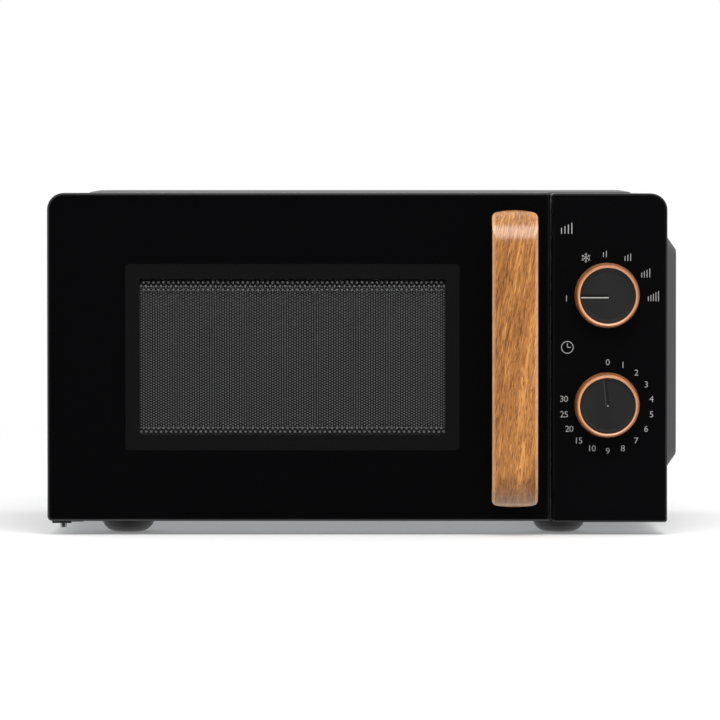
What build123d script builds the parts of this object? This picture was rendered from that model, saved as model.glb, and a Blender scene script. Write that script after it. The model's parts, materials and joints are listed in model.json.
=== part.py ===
from build123d import *
import math
import os

# A countertop microwave oven. Millimetres; +X is to the right, +Y to the back and +Z up, and the door
# faces -Y. The origin is under the middle of the whole oven, on the surface that it stands on.

# Driving dimensions of the outside
PANEL_WIDTH = 451.0      # door and control panel, side by side
DOOR_WIDTH = 366.0
SPLIT_GAP = 1.3          # between the door and the control panel
BULGE = 11.0             # the right side swells this far past the panel
BODY_DEPTH = 329.0       # door glass to rear panel
HANDLE_OUT = 32.0
SPACER_OUT = 13.0
DOOR_Z0 = 10.3
DOOR_Z1 = 249.0
CONTROL_Z0 = 9.5
CONTROL_Z1 = 248.6
DOOR_THICK = 28.5
FLANGE_GAP = 2.5         # between the door's back and the oven's front plate
TOP_CORNER = 12.0
EDGE_BEVEL = 1.2
MEET_CORNER = 1.6        # small corners along the split between door and control panel

# Sheet metal, glass and plastic walls
SHEET = 0.8
GLASS = 3.2
RIM = 2.0                # door frame that shows round the glass
FASCIA = 2.5
WALL = 2.2

# Cabinet
CABINET_Z0 = 12.0
CABINET_Z1 = 246.5
CABINET_INSET = 2.0      # cabinet side to panel edge
EMBOSS = 2.5             # height of the raised panel on the top
EMBOSS_X = 405.0
EMBOSS_Y = 230.0
BULGE_Y = 232.0          # the swollen panel on the right side, along Y and Z at its foot
BULGE_Z = 189.0
BULGE_LEAN = 55.0        # degrees that its flanks lean
BULGE_FLANK_R = 24.0
PRESS_Y = 40.0           # middle of both pressed panels
PRESS_Z = 130.4
FOOT_TOP_R = 19.4
FOOT_FLAT_R = 8.5
FOOT_RIM = 1.5           # straight rim under the floor sheet
FOOT_PEG_R = 3.6
AIR_HOLE_R = 1.9         # small round holes in the cooking box

# Cooking space
CAVITY_WIDTH = 306.0
CAVITY_HEIGHT = 198.0
CAVITY_Z0 = 31.0
WINDOW_FROM_LEFT = 178.4  # middle of the window, from the panel's left edge
WINDOW_WIDTH = 242.9
WINDOW_HEIGHT = 135.5
TRAY_RADIUS = 122.5
ROLLER_R = 7.0
ROLLER_PITCH_R = 97.0
TRACK_DEPTH = 1.2
TRACK_R = 118.0
CAVITY_CORNER = 9.0

# Handle, knobs and hinge
HANDLE_FROM_LEFT = 339.7
HANDLE_WIDTH = 33.0
HANDLE_LENGTH = 215.4
HANDLE_DROP = 12.5        # below the top of the door
HANDLE_THICK = 10.5
HANDLE_BEND = 24.0
KNOB_FROM_LEFT = 407.2
POWER_DROP = 74.4         # below the top of the door
TIMER_DROP = 154.2
KNOB_BASE_R = 23.7
KNOB_FACE_R = 20.1
KNOB_LIP = 2.1           # width of the ring that shows round the face
POINTER_WIDTH = 1.8
KNOB_LENGTH = 17.0
HINGE_INSET = 11.0
HINGE_PIN_R = 3.0
HINGE_TIP_R = 2.4
HINGE_PLATE = 1.5
RUNNING = 0.06            # radial clearance of a shaft in its hole
FAN_R = 47.0

# Places worked out from the driving dimensions
PANEL_X0 = -(PANEL_WIDTH + BULGE) / 2
PANEL_X1 = PANEL_X0 + PANEL_WIDTH
DOOR_X1 = PANEL_X0 + DOOR_WIDTH
CONTROL_X0 = DOOR_X1 + SPLIT_GAP
FRONT_Y = HANDLE_OUT - (HANDLE_OUT + BODY_DEPTH + SPACER_OUT) / 2
REAR_Y = FRONT_Y + BODY_DEPTH
DOOR_BACK = FRONT_Y + DOOR_THICK
GLASS_BACK = FRONT_Y + GLASS
FLANGE_Y = DOOR_BACK + FLANGE_GAP
CABINET_X0 = PANEL_X0 + CABINET_INSET
CABINET_X1 = PANEL_X1 - CABINET_INSET
WINDOW_X = PANEL_X0 + WINDOW_FROM_LEFT
WINDOW_Z = (DOOR_Z0 + DOOR_Z1) / 2
CAVITY_X0 = WINDOW_X - CAVITY_WIDTH / 2
CAVITY_X1 = WINDOW_X + CAVITY_WIDTH / 2
CAVITY_Y1 = REAR_Y - 13.0
CAVITY_Z1 = CAVITY_Z0 + CAVITY_HEIGHT
TURN_X = WINDOW_X
TURN_Y = (FLANGE_Y + CAVITY_Y1) / 2
TRACK_Z = CAVITY_Z0 - TRACK_DEPTH
AXLE_Z = TRACK_Z + 0.1 + ROLLER_R
TRAY_Z = AXLE_Z + ROLLER_R + 0.1
HANDLE_X = PANEL_X0 + HANDLE_FROM_LEFT
HANDLE_Z1 = DOOR_Z1 - HANDLE_DROP
HANDLE_Z0 = HANDLE_Z1 - HANDLE_LENGTH
KNOB_X = PANEL_X0 + KNOB_FROM_LEFT
POWER_Z = DOOR_Z1 - POWER_DROP
TIMER_Z = DOOR_Z1 - TIMER_DROP
HINGE_X = PANEL_X0 + HINGE_INSET
HINGE_Y = DOOR_BACK - HINGE_INSET
BAY_X0 = CAVITY_X1 + SHEET            # the bay with the electrical parts starts here
BASE_TOP = CABINET_Z0 + SHEET

# Door innards
SCREEN_Y = GLASS_BACK + 2.8           # front of the perforated sheet
SCREEN_X0 = CAVITY_X0 - 8.0
SCREEN_X1 = CAVITY_X1 + 8.0
SCREEN_Z0 = CAVITY_Z0 - 5.0
SCREEN_Z1 = CAVITY_Z1 + 5.0
CHOKE_WIDTH = 26.0                    # from the sheet's edge to the window recess
CHOKE_LIP = 12.0
HOOK_X = DOOR_X1 - 14.0
HOOK_ZS = (72.0, 176.0)
HOOK_REACH = 22.0                     # past the back of the door
SWITCH_ZS = (84.0, 96.0, 187.0)
SWITCH_Y = FLANGE_Y + SHEET + 21
LEVER_Y = FLANGE_Y + SHEET + 14
LEVER_Z = 127.0
LEVER_PIN_R = 2.0
ROLLER_ANGLES = (90, 210, 330)
CORD_PLACE = (186.0, 48.0)
LAMP_PLACE = (BAY_X0 + 16, -64.0, 206.0)
CAPACITOR_PLACE = (146.0, BASE_TOP + 20)

# Fan, magnetron and transformer places
FAN_X = 160.0
FAN_Z = 148.0
FAN_Y = REAR_Y - 22.0
TUBE_Y = 30.0
TUBE_Z = 140.0


def block(x0, x1, y0, y1, z0, z1):
    """Box between two opposite corners."""
    return Pos((x0 + x1) / 2, (y0 + y1) / 2, (z0 + z1) / 2) * Box(x1 - x0, y1 - y0, z1 - z0)


def rod_x(x0, x1, y, z, r):
    """Cylinder along X."""
    return Pos((x0 + x1) / 2, y, z) * Rot(0, 90, 0) * Cylinder(r, x1 - x0)


def rod_y(y0, y1, x, z, r):
    """Cylinder along Y."""
    return Pos(x, (y0 + y1) / 2, z) * Rot(90, 0, 0) * Cylinder(r, y1 - y0)


def rod_z(z0, z1, x, y, r):
    """Cylinder along Z."""
    return Pos(x, y, (z0 + z1) / 2) * Cylinder(r, z1 - z0)


def outline(x0, x1, z0, z1, radii):
    """Rectangle with its own radius at each corner: top left, top right, bottom left, bottom right."""
    face = Pos((x0 + x1) / 2, (z0 + z1) / 2) * Rectangle(x1 - x0, z1 - z0)
    corners = ((x0, z1), (x1, z1), (x0, z0), (x1, z0))
    for (x, z), radius in zip(corners, radii):
        if radius > 0:
            corner = face.vertices().sort_by_distance((x, z, 0))[0]
            face = fillet(corner, radius)
    return face


def from_front(face, y0, y1):
    """Carry an outline drawn in X and Z from y0 back to y1."""
    plane = Plane((0, y1, 0), x_dir=(1, 0, 0), z_dir=(0, -1, 0))
    return extrude(plane * face, y1 - y0)


def from_side(face, x0, x1):
    """Carry an outline drawn in Y and Z from x0 to x1."""
    plane = Plane((x0, 0, 0), x_dir=(0, 1, 0), z_dir=(1, 0, 0))
    return extrude(plane * face, x1 - x0)


def turned_y(points, x, z):
    """Solid turned about a line along Y; the points are radius and Y."""
    plane = Plane((x, 0, z), x_dir=(1, 0, 0), z_dir=(0, 0, 1))
    face = make_face(Polyline(*points, close=True))
    return revolve(plane * face, Axis((x, 0, z), (0, 1, 0)))


def turned_z(points, x, y):
    """Solid turned about a line along Z; the points are radius and Z."""
    plane = Plane((x, y, 0), x_dir=(1, 0, 0), z_dir=(0, -1, 0))
    face = make_face(Polyline(*points, close=True))
    return revolve(plane * face, Axis((x, y, 0), (0, 0, 1)))


def around(shape, x, y, angles):
    """Copies of a shape turned about the vertical line through x and y."""
    return [Pos(x, y, 0) * Rot(0, 0, angle) * Pos(-x, -y, 0) * shape for angle in angles]


def steps(first, count, pitch):
    """Evenly spaced numbers."""
    return [first + i * pitch for i in range(count)]


def bevel_front(part, y, size):
    """Bevel the edges that lie in the plane y."""
    edges = part.edges().filter_by(lambda e: abs(e.bounding_box().min.Y - y) < 0.01
                                   and abs(e.bounding_box().max.Y - y) < 0.01)
    return chamfer(edges, size)


# Cabinet

def wrap_form(inset):
    """Closed form that the wrap-round cover encloses, a sheet's thickness smaller where inset is."""
    top = CABINET_Z1 - inset
    main = from_front(outline(CABINET_X0 + inset, CABINET_X1 - inset, CABINET_Z0 - inset, top,
                              (6 - inset, 6 - inset, 0, 0)),
                      FLANGE_Y + SHEET - inset, REAR_Y + inset)
    raised = extrude(Pos(-3.5, PRESS_Y, top) * RectangleRounded(EMBOSS_X, EMBOSS_Y, 14), EMBOSS, taper=45)
    side_plane = Plane((CABINET_X1 - inset, 0, 0), x_dir=(0, 1, 0), z_dir=(1, 0, 0))
    side = extrude(side_plane * (Pos(PRESS_Y, PRESS_Z) * RectangleRounded(BULGE_Y, BULGE_Z, BULGE_FLANK_R)),
                   BULGE + CABINET_INSET, taper=BULGE_LEAN)
    shoulder = side.faces().sort_by(Axis.X)[-1].edges()
    return main + raised + fillet(shoulder, 2)


def outer_cabinet():
    """Top and both sides in one bent sheet, with pressed panels and vents."""
    cover = wrap_form(0) - wrap_form(SHEET)
    louvres = [block(CABINET_X1 + 5, PANEL_X1 + BULGE + 1, y, y + 26, z, z + 2.4)
               for y in (20, 54, 88) for z in steps(86, 12, 8)]
    left_vents = [block(CABINET_X0 - 1, CABINET_X0 + 2, y, y + 22, z, z + 2.4)
                  for y in (70, 100) for z in steps(170, 6, 7)]
    return cover - louvres - left_vents


def base_plate():
    """Floor sheet with turned-up sides, foot holes and air slots."""
    x0 = CABINET_X0 + SHEET + 0.2
    x1 = CABINET_X1 - SHEET - 0.2
    y0 = FLANGE_Y + 2 * SHEET
    y1 = REAR_Y - SHEET - 0.2
    plate = block(x0, x1, y0, y1, CABINET_Z0, BASE_TOP)
    plate += block(x0, x0 + SHEET, y0, y1, BASE_TOP, BASE_TOP + 9)
    plate += block(x1 - SHEET, x1, y0, y1, BASE_TOP, BASE_TOP + 9)
    plate -= [rod_z(CABINET_Z0 - 1, BASE_TOP + 1, x, y, 4.0) for x, y in foot_places()]
    plate -= [block(x, x + 3, y, y + 30, CABINET_Z0 - 1, BASE_TOP + 1)
              for x in steps(116, 10, 9) for y in (-60, -20)]
    plate -= [block(x, x + 3, 60, 84, CABINET_Z0 - 1, BASE_TOP + 1) for x in steps(-170, 8, 9)]
    return plate


def foot_places():
    """Middles of the four feet."""
    return [(x, y) for x in (-173.8, 142.6) for y in (-103.0, 142.0)]


def feet():
    """Four bowl-shaped feet with a peg that goes through the floor sheet."""
    deep = CABINET_Z0 - FOOT_RIM
    bowl = [(0, 0), (FOOT_FLAT_R, 0)]
    bowl += [(FOOT_FLAT_R + (FOOT_TOP_R - FOOT_FLAT_R) * math.sin(a), deep * (1 - math.cos(a)))
             for a in [math.radians(d) for d in (18, 36, 54, 72, 90)]]
    bowl += [(FOOT_TOP_R, CABINET_Z0), (FOOT_PEG_R, CABINET_Z0), (FOOT_PEG_R, BASE_TOP + 2.5),
             (0, BASE_TOP + 2.5)]
    return Compound(children=[turned_z(bowl, x, y) for x, y in foot_places()])


def rear_screw_places():
    """Middles of the screws that hold the rear panel."""
    return [(-215, 238), (-215, 26), (0, 240), (205, 238), (205, 26)]


def rear_panel():
    """Back sheet with the fan's air holes, the outlet holes, the cord hole and screw holes."""
    face = outline(CABINET_X0 + SHEET + 0.1, CABINET_X1 - SHEET - 0.1, CABINET_Z0 + 0.1,
                   CABINET_Z1 - SHEET - 0.1, (5.2, 5.2, 0, 0))
    panel = from_front(face, REAR_Y - SHEET, REAR_Y)
    cuts = [rod_y(REAR_Y - 2, REAR_Y + 1, FAN_X + r * math.cos(a), FAN_Z + r * math.sin(a), 2.6)
            for r, count in ((0, 1), (9, 6), (18, 12), (27, 18), (36, 24))
            for a in [2 * math.pi * i / count for i in range(count)]]
    cuts += [rod_y(REAR_Y - 2, REAR_Y + 1, x, z, 2.2) for x in steps(-150, 9, 8) for z in (200, 208, 216)]
    cuts += [rod_y(REAR_Y - 2, REAR_Y + 1, x, z, 2.15) for x, z in rear_screw_places()]
    cuts.append(rod_y(REAR_Y - 2, REAR_Y + 1, *CORD_PLACE, 8.0))
    return panel - cuts


def cord_inlet():
    """Flanged bush that lines the cord hole in the rear panel."""
    bush = rod_y(REAR_Y - 6, REAR_Y, *CORD_PLACE, 7.9) + rod_y(REAR_Y, REAR_Y + 3, *CORD_PLACE, 11.5)
    return bush - rod_y(REAR_Y - 8, REAR_Y + 4, *CORD_PLACE, 3.6)


def rear_spacer():
    """Plastic stop that keeps the back off the wall."""
    stop = block(-75, 25, REAR_Y, REAR_Y + SPACER_OUT, 118, 146)
    stop = fillet(stop.edges().filter_by(Axis.Y), 8)
    return fillet(stop.faces().sort_by(Axis.Y)[-1].edges(), 3)


def rear_screws():
    """Five pan-head screws in the rear panel."""
    return Compound(children=[rod_y(REAR_Y, REAR_Y + 2.2, x, z, 4.2) + rod_y(REAR_Y - 9, REAR_Y, x, z, 2.0)
                              - block(x - 2.6, x + 2.6, REAR_Y + 1.2, REAR_Y + 3, z - 0.5, z + 0.5)
                              - block(x - 0.5, x + 0.5, REAR_Y + 1.2, REAR_Y + 3, z - 2.6, z + 2.6)
                              for x, z in rear_screw_places()])


# Cooking space

def hook_windows(y0, y1):
    """Openings that the door's hooks pass through."""
    return [block(HOOK_X - 6, HOOK_X + 7.5, y0, y1, z - 10, z + 12) for z in HOOK_ZS]


def cavity():
    """Cooking box and front plate, with the turntable track, air holes and the waveguide's port."""
    y0 = FLANGE_Y
    round_in = (CAVITY_CORNER,) * 4
    round_out = (CAVITY_CORNER + SHEET,) * 4
    box = from_front(outline(CAVITY_X0 - SHEET, CAVITY_X1 + SHEET, CAVITY_Z0 - SHEET,
                             CAVITY_Z1 + SHEET, round_out), y0, CAVITY_Y1 + SHEET)
    box += block(CABINET_X0 + 1.5, CABINET_X1 - 1.5, y0, y0 + SHEET, CABINET_Z0 + 2, CABINET_Z1 - 1.5)
    box += rod_z(TRACK_Z - SHEET, CAVITY_Z0, TURN_X, TURN_Y, TRACK_R + SHEET)
    box -= from_front(outline(CAVITY_X0, CAVITY_X1, CAVITY_Z0, CAVITY_Z1, round_in), y0 - 1, CAVITY_Y1)
    box -= rod_z(TRACK_Z, CAVITY_Z0 + 1, TURN_X, TURN_Y, TRACK_R)
    box -= rod_z(TRACK_Z - 2, CAVITY_Z0 + 1, TURN_X, TURN_Y, 7)
    wall = (CAVITY_X1 - 1, CAVITY_X1 + SHEET + 1)
    cuts = [block(*wall, TUBE_Y - 38, TUBE_Y + 38, TUBE_Z - 24, TUBE_Z + 24)]
    cuts += [rod_x(*wall, y + (3.5 if row % 2 else 0), 190 + 6.1 * row, AIR_HOLE_R)
             for row in range(4) for y in steps(-84, 6, 7)]
    far_wall = (CAVITY_X0 - SHEET - 1, CAVITY_X0 + 1)
    cuts += [rod_x(*far_wall, y + (3.5 if row % 2 else 0), 196 + 6.1 * row, AIR_HOLE_R)
             for row in range(4) for y in steps(60, 9, 7)]
    cuts += hook_windows(y0 - 1, y0 + SHEET + 1)
    cuts.append(block(CONTROL_X0 + 5, PANEL_X1 - 7, y0 - 1, y0 + SHEET + 1, 30, 236))
    return box - cuts


def waveguide_cover():
    """Mica sheet over the waveguide's port, inside the cooking space."""
    return block(CAVITY_X1 - 0.5, CAVITY_X1, TUBE_Y - 48, TUBE_Y + 48, TUBE_Z - 34, TUBE_Z + 34)


def waveguide():
    """Steel duct between the magnetron and the port."""
    x0, x1 = BAY_X0, BAY_X0 + 20
    duct = block(x0, x1, TUBE_Y - 44, TUBE_Y + 44, TUBE_Z - 30, TUBE_Z + 30)
    duct -= block(x0 - 1, x1 - 1, TUBE_Y - 43, TUBE_Y + 43, TUBE_Z - 29, TUBE_Z + 29)
    return duct - rod_x(x1 - 2, x1 + 1, TUBE_Y, TUBE_Z, 10.5)


def magnetron_tube():
    """Anode cylinder with the aerial that reaches into the waveguide."""
    x0 = BAY_X0 + 20
    return (rod_x(x0 + 6, x0 + 42, TUBE_Y, TUBE_Z, 19) + rod_x(x0, x0 + 6, TUBE_Y, TUBE_Z, 9)
            + rod_x(x0 - 12, x0, TUBE_Y, TUBE_Z, 7))


def magnetron_fins():
    """Stack of cooling fins on the anode."""
    x0 = BAY_X0 + 30
    fins = [block(x, x + 0.8, TUBE_Y - 33, TUBE_Y + 33, TUBE_Z - 26, TUBE_Z + 26)
            - rod_x(x - 1, x + 2, TUBE_Y, TUBE_Z, 19.05) for x in steps(x0, 9, 3.2)]
    tie = block(x0, x0 + 26.4, TUBE_Y - 2, TUBE_Y + 2, TUBE_Z + 25, TUBE_Z + 26)
    return Part() + fins + tie


def magnetron_yoke():
    """Steel frame that carries the magnets and bolts to the waveguide."""
    x0 = BAY_X0 + 21
    frame = block(x0, x0 + 45, TUBE_Y - 40, TUBE_Y + 40, TUBE_Z - 30, TUBE_Z + 30)
    frame -= block(x0 + 2, x0 + 43, TUBE_Y - 41, TUBE_Y + 41, TUBE_Z - 28, TUBE_Z + 28)
    return frame - rod_x(x0 - 1, x0 + 3, TUBE_Y, TUBE_Z, 10) - rod_x(x0 + 42, x0 + 46, TUBE_Y, TUBE_Z, 10)


def magnetron_filter_box():
    """Screened box round the filament terminals."""
    x0 = BAY_X0 + 66
    box = block(x0, x0 + 34, TUBE_Y - 24, TUBE_Y + 24, TUBE_Z - 22, TUBE_Z + 22)
    box = fillet(box.edges().filter_by(Axis.X), 3)
    terminals = [block(x0 + 12, x0 + 22, TUBE_Y + y - 3, TUBE_Y + y + 3, TUBE_Z - 30, TUBE_Z - 22)
                 for y in (-9, 9)]
    return box + terminals


def transformer_core():
    """Laminated steel core with two windows."""
    core = block(118, 206, -72, 6, BASE_TOP + 2, BASE_TOP + 66)
    core -= [block(117, 207, y, y + 16, BASE_TOP + 18, BASE_TOP + 50) for y in (-57, -25)]
    return core + [block(112, 212, y, y + 8, BASE_TOP, BASE_TOP + 2) for y in (-72, -2)]


def transformer_windings():
    """Primary and secondary coils round the middle leg of the core."""
    leg_y0, leg_y1 = -41, -25
    coils = []
    for z0, z1 in ((BASE_TOP + 18.5, BASE_TOP + 32), (BASE_TOP + 34, BASE_TOP + 49.5)):
        coil = block(112, 212, leg_y0 - 14, leg_y1 + 14, z0, z1)
        coil = fillet(coil.edges().filter_by(Axis.Z), 5)
        coils.append(coil - block(117.5, 206.5, leg_y0 - 0.5, leg_y1 + 0.5, z0 - 1, z1 + 1))
    return Compound(children=coils)


def hv_capacitor():
    """Oval capacitor can with two tabs."""
    can = from_front(Pos(*CAPACITOR_PLACE) * SlotOverall(54, 34), 28, 112)
    ends = can.edges().filter_by(lambda e: abs(e.bounding_box().max.Y - e.bounding_box().min.Y) < 0.01)
    can = fillet(ends, 2)
    tabs = [block(x, x + 6, 18, 28, BASE_TOP + 19.6, BASE_TOP + 20.4) for x in (132, 154)]
    return can + tabs


def capacitor_clamp():
    """Strap that holds the capacitor to the floor sheet."""
    ring = from_front(Pos(*CAPACITOR_PLACE) * SlotOverall(57, 37), 62, 76)
    ring -= from_front(Pos(*CAPACITOR_PLACE) * SlotOverall(54.4, 34.4), 61, 77)
    foot = block(174, 186, 62, 76, BASE_TOP, BASE_TOP + 1.2)
    riser = block(174, 175.2, 62, 76, BASE_TOP, BASE_TOP + 20)
    return ring + foot + riser


def hv_diode():
    """High-voltage diode with an eyelet on the floor sheet."""
    return (block(192, 200, 60, 80, BASE_TOP + 3, BASE_TOP + 10)
            + rod_y(80, 92, 196, BASE_TOP + 6.5, 0.8)
            + rod_z(BASE_TOP, BASE_TOP + 7.3, 196, 92, 3.5))


def hv_fuse():
    """High-voltage fuse in its plastic holder."""
    return rod_y(-10, 34, 198, 94, 5) + rod_y(-14, -10, 198, 94, 6.5) + rod_y(34, 38, 198, 94, 6.5)


# Cooling fan

def fan_motor():
    """Shaded-pole motor: laminated frame, coil and bearing bridges."""
    y1 = FAN_Y - 10
    stator = block(FAN_X - 28, FAN_X + 28, y1 - 16, y1, FAN_Z - 22, FAN_Z + 30)
    stator -= block(FAN_X - 18, FAN_X + 18, y1 - 17, y1 + 1, FAN_Z + 16, FAN_Z + 23)
    coil = block(FAN_X - 14, FAN_X + 14, y1 - 24, y1 - 16, FAN_Z + 12, FAN_Z + 34)
    bridge = block(FAN_X - 8, FAN_X + 8, y1 - 26, y1 - 16, FAN_Z - 10, FAN_Z + 8)
    arms = [block(x0, x1, y1 - 14, y1 - 11, FAN_Z - 5, FAN_Z + 5)
            for x0, x1 in ((FAN_X - 50, FAN_X - 28), (FAN_X + 28, FAN_X + 50))]
    return stator + coil + bridge + arms - rod_y(y1 - 20, y1 + 1, FAN_X, FAN_Z, 3 + RUNNING)


def fan_shroud():
    """Plate with a round collar for the fan, posts for the motor and the duct to the magnetron."""
    y0 = FAN_Y - 3
    plate = block(BAY_X0 + 3, CABINET_X1 - 2, y0, y0 + 1.6, FAN_Z - 58, FAN_Z + 58)
    plate += rod_y(y0, FAN_Y + 16, FAN_X, FAN_Z, FAN_R + 3.6)
    plate -= rod_y(y0 - 1, FAN_Y + 17, FAN_X, FAN_Z, FAN_R + 2)
    posts = [block(x, x + 7, FAN_Y - 21, y0, FAN_Z - 5, FAN_Z + 5) for x in (FAN_X - 57.5, FAN_X + 50.5)]
    duct_x, duct_y0 = BAY_X0 + 22, TUBE_Y + 42
    duct = block(duct_x, duct_x + 44, duct_y0, y0 - 36, TUBE_Z - 30, TUBE_Z + 30)
    duct -= block(duct_x + 1.5, duct_x + 42.5, duct_y0 - 1, y0, TUBE_Z - 28.5, TUBE_Z + 28.5)
    rails = [block(duct_x, duct_x + 44, y0 - 37, y0 + 0.5, z, z + 1.5) for z in (TUBE_Z - 42, TUBE_Z + 48)]
    cheeks = [block(duct_x, duct_x + 44, y0 - 37.5, y0 - 36, z, z + h)
              for z, h in ((TUBE_Z - 42, 12), (TUBE_Z + 30, 19.5))]
    return plate + posts + duct + rails + cheeks


def fan_blade():
    """Five pitched blades on a hub, with the motor's shaft."""
    hub = rod_y(FAN_Y - 1, FAN_Y + 13, FAN_X, FAN_Z, 9)
    shaft = rod_y(FAN_Y - 26, FAN_Y - 1, FAN_X, FAN_Z, 3)
    blade = Pos(27, 6, 0) * Rot(32, 0, 0) * Box(40, 1.6, 24)
    blades = [Pos(FAN_X, FAN_Y, FAN_Z) * Rot(0, 72 * i, 0) * blade for i in range(5)]
    disc = rod_y(FAN_Y - 8, FAN_Y + 20, FAN_X, FAN_Z, FAN_R)
    return hub + shaft + [b & disc for b in blades]


# Small electrical parts

def turntable_motor():
    """Flat gear motor under the cooking space, with a blind drive hole."""
    top = TRACK_Z - SHEET - 0.2
    body = rod_z(BASE_TOP + 0.4, top, TURN_X, TURN_Y, 24.5)
    ears = block(TURN_X - 34, TURN_X + 34, TURN_Y - 5, TURN_Y + 5, top - 1.2, top)
    return body + ears - rod_z(BASE_TOP + 4, TRACK_Z, TURN_X, TURN_Y, 3.4 + RUNNING)


def oven_lamp():
    """Glass bulb and its screw cap."""
    x, y, z = LAMP_PLACE
    return Pos(x, y, z) * Sphere(9) + rod_y(y + 4, y + 22, x, z, 5)


def lamp_holder():
    """Socket and bracket for the lamp."""
    x, y, z = LAMP_PLACE
    socket = rod_y(y + 12, y + 30, x, z, 9) - rod_y(y + 11, y + 22.2, x, z, 5.1)
    return socket + block(BAY_X0, x, y + 23, y + 29, z - 6, z + 6)


def thermal_cutouts():
    """Two disc thermostats: one on the oven's roof and one on the magnetron's frame."""
    roof = rod_z(CAVITY_Z1 + SHEET, CAVITY_Z1 + SHEET + 6, 60, 100, 8)
    roof += block(46, 74, 96, 104, CAVITY_Z1 + SHEET, CAVITY_Z1 + SHEET + 1)
    x = BAY_X0 + 44
    on_frame = rod_z(TUBE_Z + 30, TUBE_Z + 36, x, TUBE_Y, 8)
    on_frame += block(x - 14, x + 14, TUBE_Y - 4, TUBE_Y + 4, TUBE_Z + 30, TUBE_Z + 31)
    return Compound(children=[roof, on_frame])


def noise_filter_board():
    """Mains filter board with its choke, capacitor and fuse."""
    z = 222.0
    board = block(112, 198, 60, 126, z, z + 1.6)
    choke = rod_z(z + 1.6, z + 13, 135, 92, 14) - rod_z(z + 1.5, z + 14, 135, 92, 6)
    film = block(160, 186, 72, 84, z + 1.6, z + 16)
    fuse = rod_x(158, 184, 104, z + 5, 3.4)
    legs = [block(x, x + 4, 100, 108, z, z + 6) for x in (158, 180)]
    return board + choke + film + fuse + legs


# Door lock parts in the cabinet

def latch_board():
    """Plastic plate behind the front plate, with hook windows, ledges and the lever's pivot pin."""
    y0, y1 = FLANGE_Y + SHEET, FLANGE_Y + SHEET + 20
    x0, x1 = BAY_X0 + 4, CONTROL_X0 + 2
    plate = block(x0, x1, y0, y0 + 3, 52, 206)
    plate += block(x0, x0 + 2.2, y0, y1, 52, 206)
    plate += [block(x0, x1, y0, y1, z, z + 2.4) for z in (52, 203.6)]
    plate -= hook_windows(y0 - 1, y0 + 4)
    plate += [block(x0, x1, y0 + 3, y0 + 15, z - 14, z - 11) for z in HOOK_ZS]
    return plate + rod_x(x0 + 2.2, x0 + 22, LEVER_Y, LEVER_Z, LEVER_PIN_R)


def door_switches():
    """Three snap switches on the latch board."""
    y0 = SWITCH_Y
    cases = []
    for z in SWITCH_ZS:
        case = block(BAY_X0 + 4, BAY_X0 + 32, y0, y0 + 16, z, z + 10)
        case += [block(x, x + 4, y0 + 16, y0 + 23, z + 4, z + 5) for x in (BAY_X0 + 8, BAY_X0 + 24)]
        cases.append(case - block(BAY_X0 + 14, BAY_X0 + 19, y0 - 1, y0 + 5, z + 2.8, z + 7.2))
    return Compound(children=cases)


def switch_plungers():
    """Push pins of the three switches."""
    y0 = SWITCH_Y - 2
    return Compound(children=[block(BAY_X0 + 14.1, BAY_X0 + 18.9, y0, y0 + 5.4, z + 2.9, z + 7.1)
                              for z in SWITCH_ZS])


def interlock_lever():
    """Rocking lever between the lower hook and the monitor switch."""
    arm = block(BAY_X0 + 13, BAY_X0 + 20, LEVER_Y - 2, LEVER_Y + 2, LEVER_Z - 23, LEVER_Z + 23)
    pivot = rod_x(BAY_X0 + 9, BAY_X0 + 24, LEVER_Y, LEVER_Z, 2 * LEVER_PIN_R)
    return arm + pivot - rod_x(BAY_X0 + 8, BAY_X0 + 25, LEVER_Y, LEVER_Z, LEVER_PIN_R + RUNNING)


# Control panel

def control_outline():
    """Front outline of the control panel."""
    return outline(CONTROL_X0, PANEL_X1, CONTROL_Z0, CONTROL_Z1, (MEET_CORNER, TOP_CORNER, MEET_CORNER, 2))


def control_housing():
    """Moulded back of the control panel, open behind."""
    y0 = FRONT_Y + FASCIA
    inside = outline(CONTROL_X0 + WALL, PANEL_X1 - WALL, CONTROL_Z0 + WALL, CONTROL_Z1 - WALL, (0, 9, 0, 0))
    body = from_front(control_outline(), y0, FLANGE_Y) - from_front(inside, y0 + WALL, FLANGE_Y + 1)
    for z in (POWER_Z, TIMER_Z):
        body -= rod_y(y0 - 1, y0 + WALL + 1, KNOB_X, z, 9.5)
    body += [block(CONTROL_X0 + 1, PANEL_X1 - 1, y0 + WALL, FLANGE_Y - 3, z, z + 2) for z in (132, 40)]
    return body


def control_fascia():
    """Glossy front plate of the control panel."""
    plate = bevel_front(from_front(control_outline(), FRONT_Y, FRONT_Y + FASCIA), FRONT_Y, EDGE_BEVEL)
    return plate - [rod_y(FRONT_Y - 1, FRONT_Y + FASCIA + 1, KNOB_X, z, 8.5) for z in (POWER_Z, TIMER_Z)]


def switch_case(z, width, height, y1):
    """Case behind the control panel with a bush and a blind hole for the knob's shaft."""
    y0 = FRONT_Y + FASCIA + WALL + 0.6
    case = block(KNOB_X - width / 2, KNOB_X + width / 2, y0, y1, z - height / 2, z + height / 2)
    case = fillet(case.edges().filter_by(Axis.Y), 3)
    case += rod_y(y0 - 4, y0, KNOB_X, z, 6)
    return case - rod_y(y0 - 5, y0 + 12, KNOB_X, z, 3 + RUNNING)


def timer_body():
    """Clockwork timer, with its terminals."""
    case = switch_case(TIMER_Z, 58, 52, -112)
    return case + [block(KNOB_X - 15 + 12 * i, KNOB_X - 9 + 12 * i, -112, -103, TIMER_Z - 16, TIMER_Z - 15)
                   for i in range(3)]


def timer_bell():
    """Bell that rings at the end of the time."""
    x, y, z = KNOB_X, -112.0, TIMER_Z + 8
    return turned_y([(0, y), (3, y), (3, y + 5), (13, y + 5), (15, y + 1.5), (16, y + 1.5),
                     (14, y + 7), (0, y + 7)], x, z)


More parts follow.
